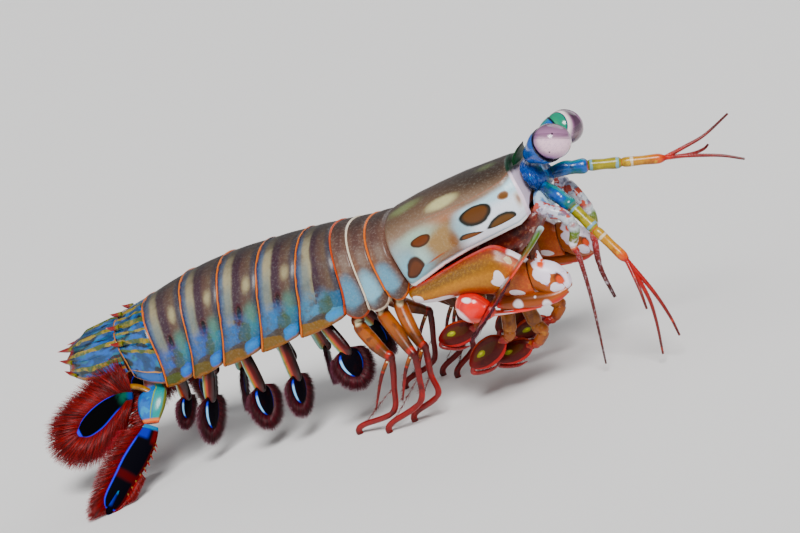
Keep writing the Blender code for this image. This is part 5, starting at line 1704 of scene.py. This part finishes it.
def walking_leg(number, segment, path, foot, side, finish, hair):
    """A slender leg with its thin second branch, a brush at its end and a small flat on the floor."""
    root = sternum_point(segment, 0.55, 0.0088 * side) - Vector((0, 0, GAP + 0.0002))
    line = [root, *mirrored(path, side)]
    shift = LEFT_FOOT_SHIFT if side > 0 else 0.0
    foot_x, foot_y = foot[0] + shift, -foot[1] * side
    above = Vector((foot_x, foot_y, FOOT_HEIGHT))
    ankle = line[-1].lerp(above, 0.82) + Vector((0, 0, 0.0006))
    line += [ankle, above, Vector((foot_x, foot_y, 0))]
    radii = [*LEG_RADII, 0.0008, FOOT_RADIUS * 0.8, FOOT_RADIUS * 0.8]
    limb = tube("limb", line, radii, finish, steps=10, joints=(1.1, 4.15, 6.1))
    knee = line[3].lerp(line[4], 0.5)
    drop = line[6] - knee
    branch_line = (
        knee,
        knee + drop * 0.35 + Vector((-0.0026, 0, 0)),
        knee + drop * 0.95 + Vector((-0.0046, 0, 0.0008)),
    )
    branch = tube("branch", branch_line, (0.0006, 0.0005, 0.0002), finish, 14)
    roots = []
    for n in range(170):
        t = dice.uniform(0.0, 1.0)
        p = line[5].lerp(line[7], t) if n % 3 else branch_line[1].lerp(branch_line[2], t)
        lean = Vector((dice.uniform(-1.0, -0.2), dice.uniform(-0.6, 0.6), dice.uniform(-0.9, -0.1)))
        reach = dice.uniform(0.0008, 0.0019)
        if p.z + lean.normalized().z * reach > 0.0004:
            roots.append((p, lean, reach, n / 180, 0.4 + 0.4 * dice.random()))
    name = f"leg_{number}_{label(side)}"
    put(gathered(name, [limb, branch, bristles(roots, hair, 0.00010)]), name)


# Swimming paddles and the tail fan

PLATE_SHARE = 0.68
# The ring that carries the paddle, the end of its stem, its far end, half width and turn in degrees
PADDLES = (
    (3, (-0.0176, -0.0120, 0.0222), (-0.0158, -0.0126, 0.0108), 0.0048, 35),
    (4, (-0.0340, -0.0120, 0.0186), (-0.0350, -0.0126, 0.0068), 0.0044, 72),
    (5, (-0.0452, -0.0120, 0.0178), (-0.0452, -0.0126, 0.0054), 0.0044, 62),
    (6, (-0.0606, -0.0120, 0.0182), (-0.0640, -0.0126, 0.0050), 0.0044, 74),
    (7, (-0.0688, -0.0100, 0.0196), (-0.0716, -0.0104, 0.0102), 0.0034, 74),
)


STEM_WIDTHS = (0.0014, 0.0021, 0.0019, 0.0006)
STEM_DEPTHS = (0.0020, 0.0026, 0.0024, 0.0008)
# Share along the paddle, share of its half width, and thickness
PLATE_STATIONS = (
    (-0.06, 0.25, 0.0005), (0.0, 0.60, 0.0012), (0.10, 0.90, 0.0014), (0.22, 1.00, 0.0014),
    (0.36, 0.96, 0.0012), (0.50, 0.75, 0.0010), (0.60, 0.45, 0.0008), (0.66, 0.05, 0.0004),
)


def pleopod(number, segment, stem_end, far_end, half_width, turn, side, stem_finish, plate_finish, hair):
    """A swimming paddle hung from its ring, in two layers of bristles."""
    root = sternum_point(segment, 0.80, 0.0100 * side) - Vector((0, 0, GAP + 0.0001))
    middle, end = mirrored((stem_end, far_end), side)
    across = Vector((math.cos(math.radians(turn)), -side * math.sin(math.radians(turn)), 0))
    stem_line = (root, root.lerp(middle, 0.5), middle, middle.lerp(end, 0.12))
    stem = blade("stem", stem_line, STEM_WIDTHS, (1, 0.3 * side, 0), STEM_DEPTHS, stem_finish, 40)
    line = [middle.lerp(end, share) for share, _, _ in PLATE_STATIONS]
    sizes = [half_width * PLATE_SHARE * width for _, width, _ in PLATE_STATIONS]
    depths = [depth for _, _, depth in PLATE_STATIONS]
    plate = blade("plate", line, sizes, across, depths, plate_finish, steps=8, dish=0.08)
    pieces = [stem, plate]
    for start, reach, width in ((0.04, 0.36, 0.00017), (0.10, 0.30, 0.00013)):
        length = (end - middle).length * reach
        roots = edge_run(line, sizes, across, 300, length, start, start, 1.0, 4, 1.3)
        pieces.append(bristles(roots, hair, width, 0.08))
    name = f"pleopod_{number}_{label(side)}"
    put(gathered(name, pieces), name)


PROTOPOD = (
    (-0.0774, -0.0094, 0.0293), (-0.0768, -0.0110, 0.0242), (-0.0764, -0.0140, 0.0226),
    (-0.0768, -0.0166, 0.0196), (-0.0770, -0.0184, 0.0166),
)
PROTOPOD_WIDTHS = (0.0018, 0.0032, 0.0043, 0.0039, 0.0022)
PROTOPOD_DEPTHS = (0.0016, 0.0022, 0.0034, 0.0034, 0.0022)
PRONG = (
    (-0.0762, -0.0132, 0.0236), (-0.0806, -0.0128, 0.0262), (-0.0862, -0.0122, 0.0268),
    (-0.0934, -0.0118, 0.0256), (-0.0985, -0.0116, 0.0238),
)
PRONG_RADII = (0.0010, 0.0012, 0.0010, 0.0007, 0.0001)
EXOPOD = (
    (-0.0771, -0.0189, 0.0160), (-0.0776, -0.0202, 0.0147), (-0.0790, -0.0224, 0.0126),
    (-0.0816, -0.0262, 0.0094), (-0.0842, -0.0304, 0.0062), (-0.0866, -0.0348, 0.0028),
    (-0.0876, -0.0368, 0.0011),
)
EXOPOD_WIDTHS = (0.0020, 0.0024, 0.0030, 0.0034, 0.0030, 0.0027, 0.0014)
EXOPOD_ACROSS = (-0.62, -0.10, 0.66)
ENDOPOD = (
    (-0.0814, -0.0152, 0.0246), (-0.0838, -0.0154, 0.0249), (-0.0864, -0.0157, 0.0241),
    (-0.0902, -0.0160, 0.0226), (-0.0942, -0.0168, 0.0207), (-0.0977, -0.0176, 0.0191),
    (-0.1003, -0.0182, 0.0182),
)
ENDOPOD_WIDTHS = (0.0010, 0.0013, 0.0022, 0.0030, 0.0033, 0.0026, 0.0008)
ENDOPOD_ACROSS = (-0.25, -0.40, -0.85)


def fan_stem(side, stem_finish, prong_finish, hair):
    """The tail fan's stem with its long prong and the bristles that fill the gap between the paddles."""
    end = label(side)
    line = mirrored(PROTOPOD, side)
    stem = blade("stem", line, PROTOPOD_WIDTHS, (1, 0, -0.1), PROTOPOD_DEPTHS, stem_finish, 72, 12)
    prong = tube("prong", mirrored(PRONG, side), PRONG_RADII, prong_finish, flat=0.6)
    roots = []
    for n in range(420):
        at = dice.uniform(0.8, 3.9)
        p = point_on(line, at)
        p.x -= value_on(PROTOPOD_WIDTHS, at) * 0.7
        lean = Vector((-1, side * dice.uniform(0.0, 0.35), dice.uniform(-0.55, -0.05)))
        roots.append((p, lean, dice.uniform(0.0046, 0.0078), n / 430, dice.random()))
    pieces = [stem, prong, bristles(roots, hair, 0.00020, 0.06)]
    put(gathered(f"uropod_stem_{end}", pieces), f"uropod_stem_{end}")


def outer_paddle(side, finish, spines, hair):
    """The outer paddle of the tail fan, with a toe on the floor and a row of spines along its outer edge."""
    end = label(side)
    line = mirrored(EXOPOD, side)
    across = mirrored((EXOPOD_ACROSS,), side)[0]
    depths = (0.0018, 0.0017, 0.0016, 0.0015, 0.0014, 0.0012, 0.0006)
    plate = blade("plate", line, EXOPOD_WIDTHS, across, depths, finish, 64, 12)
    tip = line[-1]
    sole = Vector((tip.x - 0.0002, tip.y, 0))
    toe_line = (tip.lerp(line[-3], 0.8), tip, sole + Vector((0, 0, 0.0006)), sole)
    toe = tube("toe", toe_line, (0.0006, 0.0009, 0.0010, 0.0010), finish, 20)
    pieces = [plate, toe]
    for k in range(9):
        at = 1.6 + 0.36 * k
        n = int(at)
        ahead = (line[n + 1] - line[n]).normalized()
        out = squared(ahead, across)
        base = point_on(line, at) - out * value_on(EXOPOD_WIDTHS, at) * 0.9
        point = base - out * 0.0013 + ahead * 0.0010
        spine_line = (base, base.lerp(point, 0.5), point)
        pieces.append(tube("spine", spine_line, (0.00032, 0.00024, 0.00005), spines, 10, steps=4))
    roots = edge_run(line, EXOPOD_WIDTHS, across, 620, 0.0068, 0.06, 0.55, 0.35, 4, 1.1)
    pieces.append(bristles(roots, hair, 0.00018, 0.06))
    put(gathered(f"uropod_outer_{end}", pieces), f"uropod_outer_{end}")


def inner_paddle(side, finish, hair):
    """The inner paddle of the tail fan in its long fringe, two layers deep."""
    end = label(side)
    line = mirrored(ENDOPOD, side)
    across = mirrored((ENDOPOD_ACROSS,), side)[0]
    depths = (0.0010, 0.0014, 0.0016, 0.0016, 0.0014, 0.0012, 0.0006)
    pieces = [blade("plate", line, ENDOPOD_WIDTHS, across, depths, finish, 64, 12, 0.05)]
    for reach, fan in ((0.0106, 1.3), (0.0080, 1.6)):
        roots = edge_run(line, ENDOPOD_WIDTHS, across, 620, reach, 0.0, 0.02, 1.0, 5, fan)
        pieces.append(bristles(roots, hair, 0.00022, 0.08))
    put(gathered(f"uropod_inner_{end}", pieces), f"uropod_inner_{end}")


def plain(name, ground, dark, light):
    """A finish with soft patches of two more colours."""
    f = Finish(name, ground).wobble(0.05, 300)
    f.lay(dark, f.step(f.noise(300, 3.0), 0.52, 0.66), 0.7)
    f.lay(light, f.step(f.noise(420, 3.0), 0.56, 0.7), 0.6)
    f.mottle(dark, light, 1500, 0.25)
    f.grain(2200, 0.4)
    return f.done(0.3, 0.4)


def build_animal():
    """Every piece of the animal, in its finishes."""
    body_rings()
    spines = spine_finish()
    sixth_ring(spines)
    telson(spines)
    carapace()
    head(head_finish())
    thorax_underside()
    cornea = eye_finish()
    stalk = stalk_finish()
    feeler = feeler_finishes()
    whips = whip_finish()
    speckled = antenna_finish()
    scale = scale_finish()
    claw = claw_finishes()
    limb_gold, pad, leg = limb_finishes()
    stem, plate = paddle_finishes()
    fan_blue, outer, inner = fan_finishes()
    crimson = plain("hook_crimson", "8a1420", "50080f", "c8402c")
    prong = plain("fan_prong", "a07408", "5a3c08", "d8b850")
    fan_hair = bristle_finish("bristle_fan", "5c0410", "a8081c", "c83c50")
    paddle_hair = bristle_finish("bristle_paddle", "340414", "6c0c2c", "b87890")
    limb_hair = bristle_finish("bristle_limb", "5c0814", "98141c", "c89080", 0.7)
    for side in (-1, 1):
        eye(side, cornea, stalk)
        antennal_scale(side, scale, paddle_hair)
        raptorial_claw(side, *claw)
        for name, line, ends, half_width in MAXILLIPEDS:
            maxilliped(name, line, ends, half_width, side, limb_gold, pad, crimson, limb_hair)
        for number, (segment, path, foot) in enumerate(LEGS, 1):
            walking_leg(number, segment, path, foot, side, leg, limb_hair)
        for number, paddle in enumerate(PADDLES, 1):
            pleopod(number, *paddle, side, stem, plate, paddle_hair)
        fan_stem(side, fan_blue, prong, fan_hair)
        outer_paddle(side, outer, spines, fan_hair)
        inner_paddle(side, inner, fan_hair)
    antennule(-1, ANTENNULE_RIGHT, FLAGELLA_RIGHT, feeler, whips)
    antennule(1, ANTENNULE_LEFT, FLAGELLA_LEFT, feeler, whips)
    antenna(-1, ANTENNA_RIGHT, speckled)
    antenna(1, ANTENNA_LEFT, speckled)


# The stage: a pale floor, soft lights and the camera

CAMERA_TURN = math.radians(22)
CAMERA_HEIGHT = math.radians(12)
CAMERA_ROLL = math.radians(19)
CAMERA_VIEW = math.radians(24)
CAMERA_DISTANCE = 0.4992
CAMERA_TARGET = Vector((0.0, 0.0, 0.038))
FLOOR_SIZE = 80.0


def camera():
    """The camera that the photograph was taken with: turned, raised and rolled round the animal."""
    flat = math.cos(CAMERA_HEIGHT)
    back = Vector((math.sin(CAMERA_TURN) * flat, -math.cos(CAMERA_TURN) * flat, math.sin(CAMERA_HEIGHT)))
    right = Vector((math.cos(CAMERA_TURN), math.sin(CAMERA_TURN), 0))
    up = back.cross(right)
    turned_right = right * math.cos(CAMERA_ROLL) - up * math.sin(CAMERA_ROLL)
    turned_up = right * math.sin(CAMERA_ROLL) + up * math.cos(CAMERA_ROLL)
    bpy.ops.object.camera_add(location=place(CAMERA_TARGET + back * CAMERA_DISTANCE))
    made = bpy.context.object
    made.rotation_euler = Matrix((turned_right, turned_up, back)).transposed().to_euler()
    made.data.sensor_width = 36
    made.data.lens = 18 / math.tan(CAMERA_VIEW / 2)
    made.data.clip_start = 0.01
    made.data.clip_end = FLOOR_SIZE
    bpy.context.scene.camera = made


def sun(name, toward, strength, softness):
    """A distant soft light that comes from a direction and lights the whole floor evenly."""
    bpy.ops.object.light_add(type="SUN", location=Vector(toward))
    made = bpy.context.object
    made.name = name
    made.data.energy = strength
    made.data.angle = math.radians(softness)
    made.rotation_euler = (-Vector(toward)).to_track_quat("-Z", "Y").to_euler()


def stage():
    """A wide pale floor, a pale sky and three soft suns."""
    bpy.ops.object.select_all(action="DESELECT")
    bpy.ops.mesh.primitive_plane_add(size=FLOOR_SIZE, location=(0, 0, 0))
    floor = bpy.context.object
    floor.name = "floor"
    finish = bpy.data.materials.new("pale_floor")
    finish.use_nodes = True
    shader = finish.node_tree.nodes["Principled BSDF"]
    shader.inputs["Base Color"].default_value = (0.80, 0.79, 0.78, 1)
    shader.inputs["Roughness"].default_value = 0.8
    paint(floor, finish)
    world = bpy.context.scene.world or bpy.data.worlds.new("World")
    bpy.context.scene.world = world
    world.use_nodes = True
    sky = world.node_tree.nodes["Background"]
    sky.inputs[0].default_value = (0.90, 0.91, 0.93, 1)
    sky.inputs[1].default_value = 0.27
    sun("key", (0.40, -0.80, 0.95), 4.5, 24)
    sun("fill", (-0.90, -0.60, 0.55), 0.7, 60)
    sun("back", (0.20, 0.80, 0.60), 0.6, 40)


build_animal()
stage()
camera()
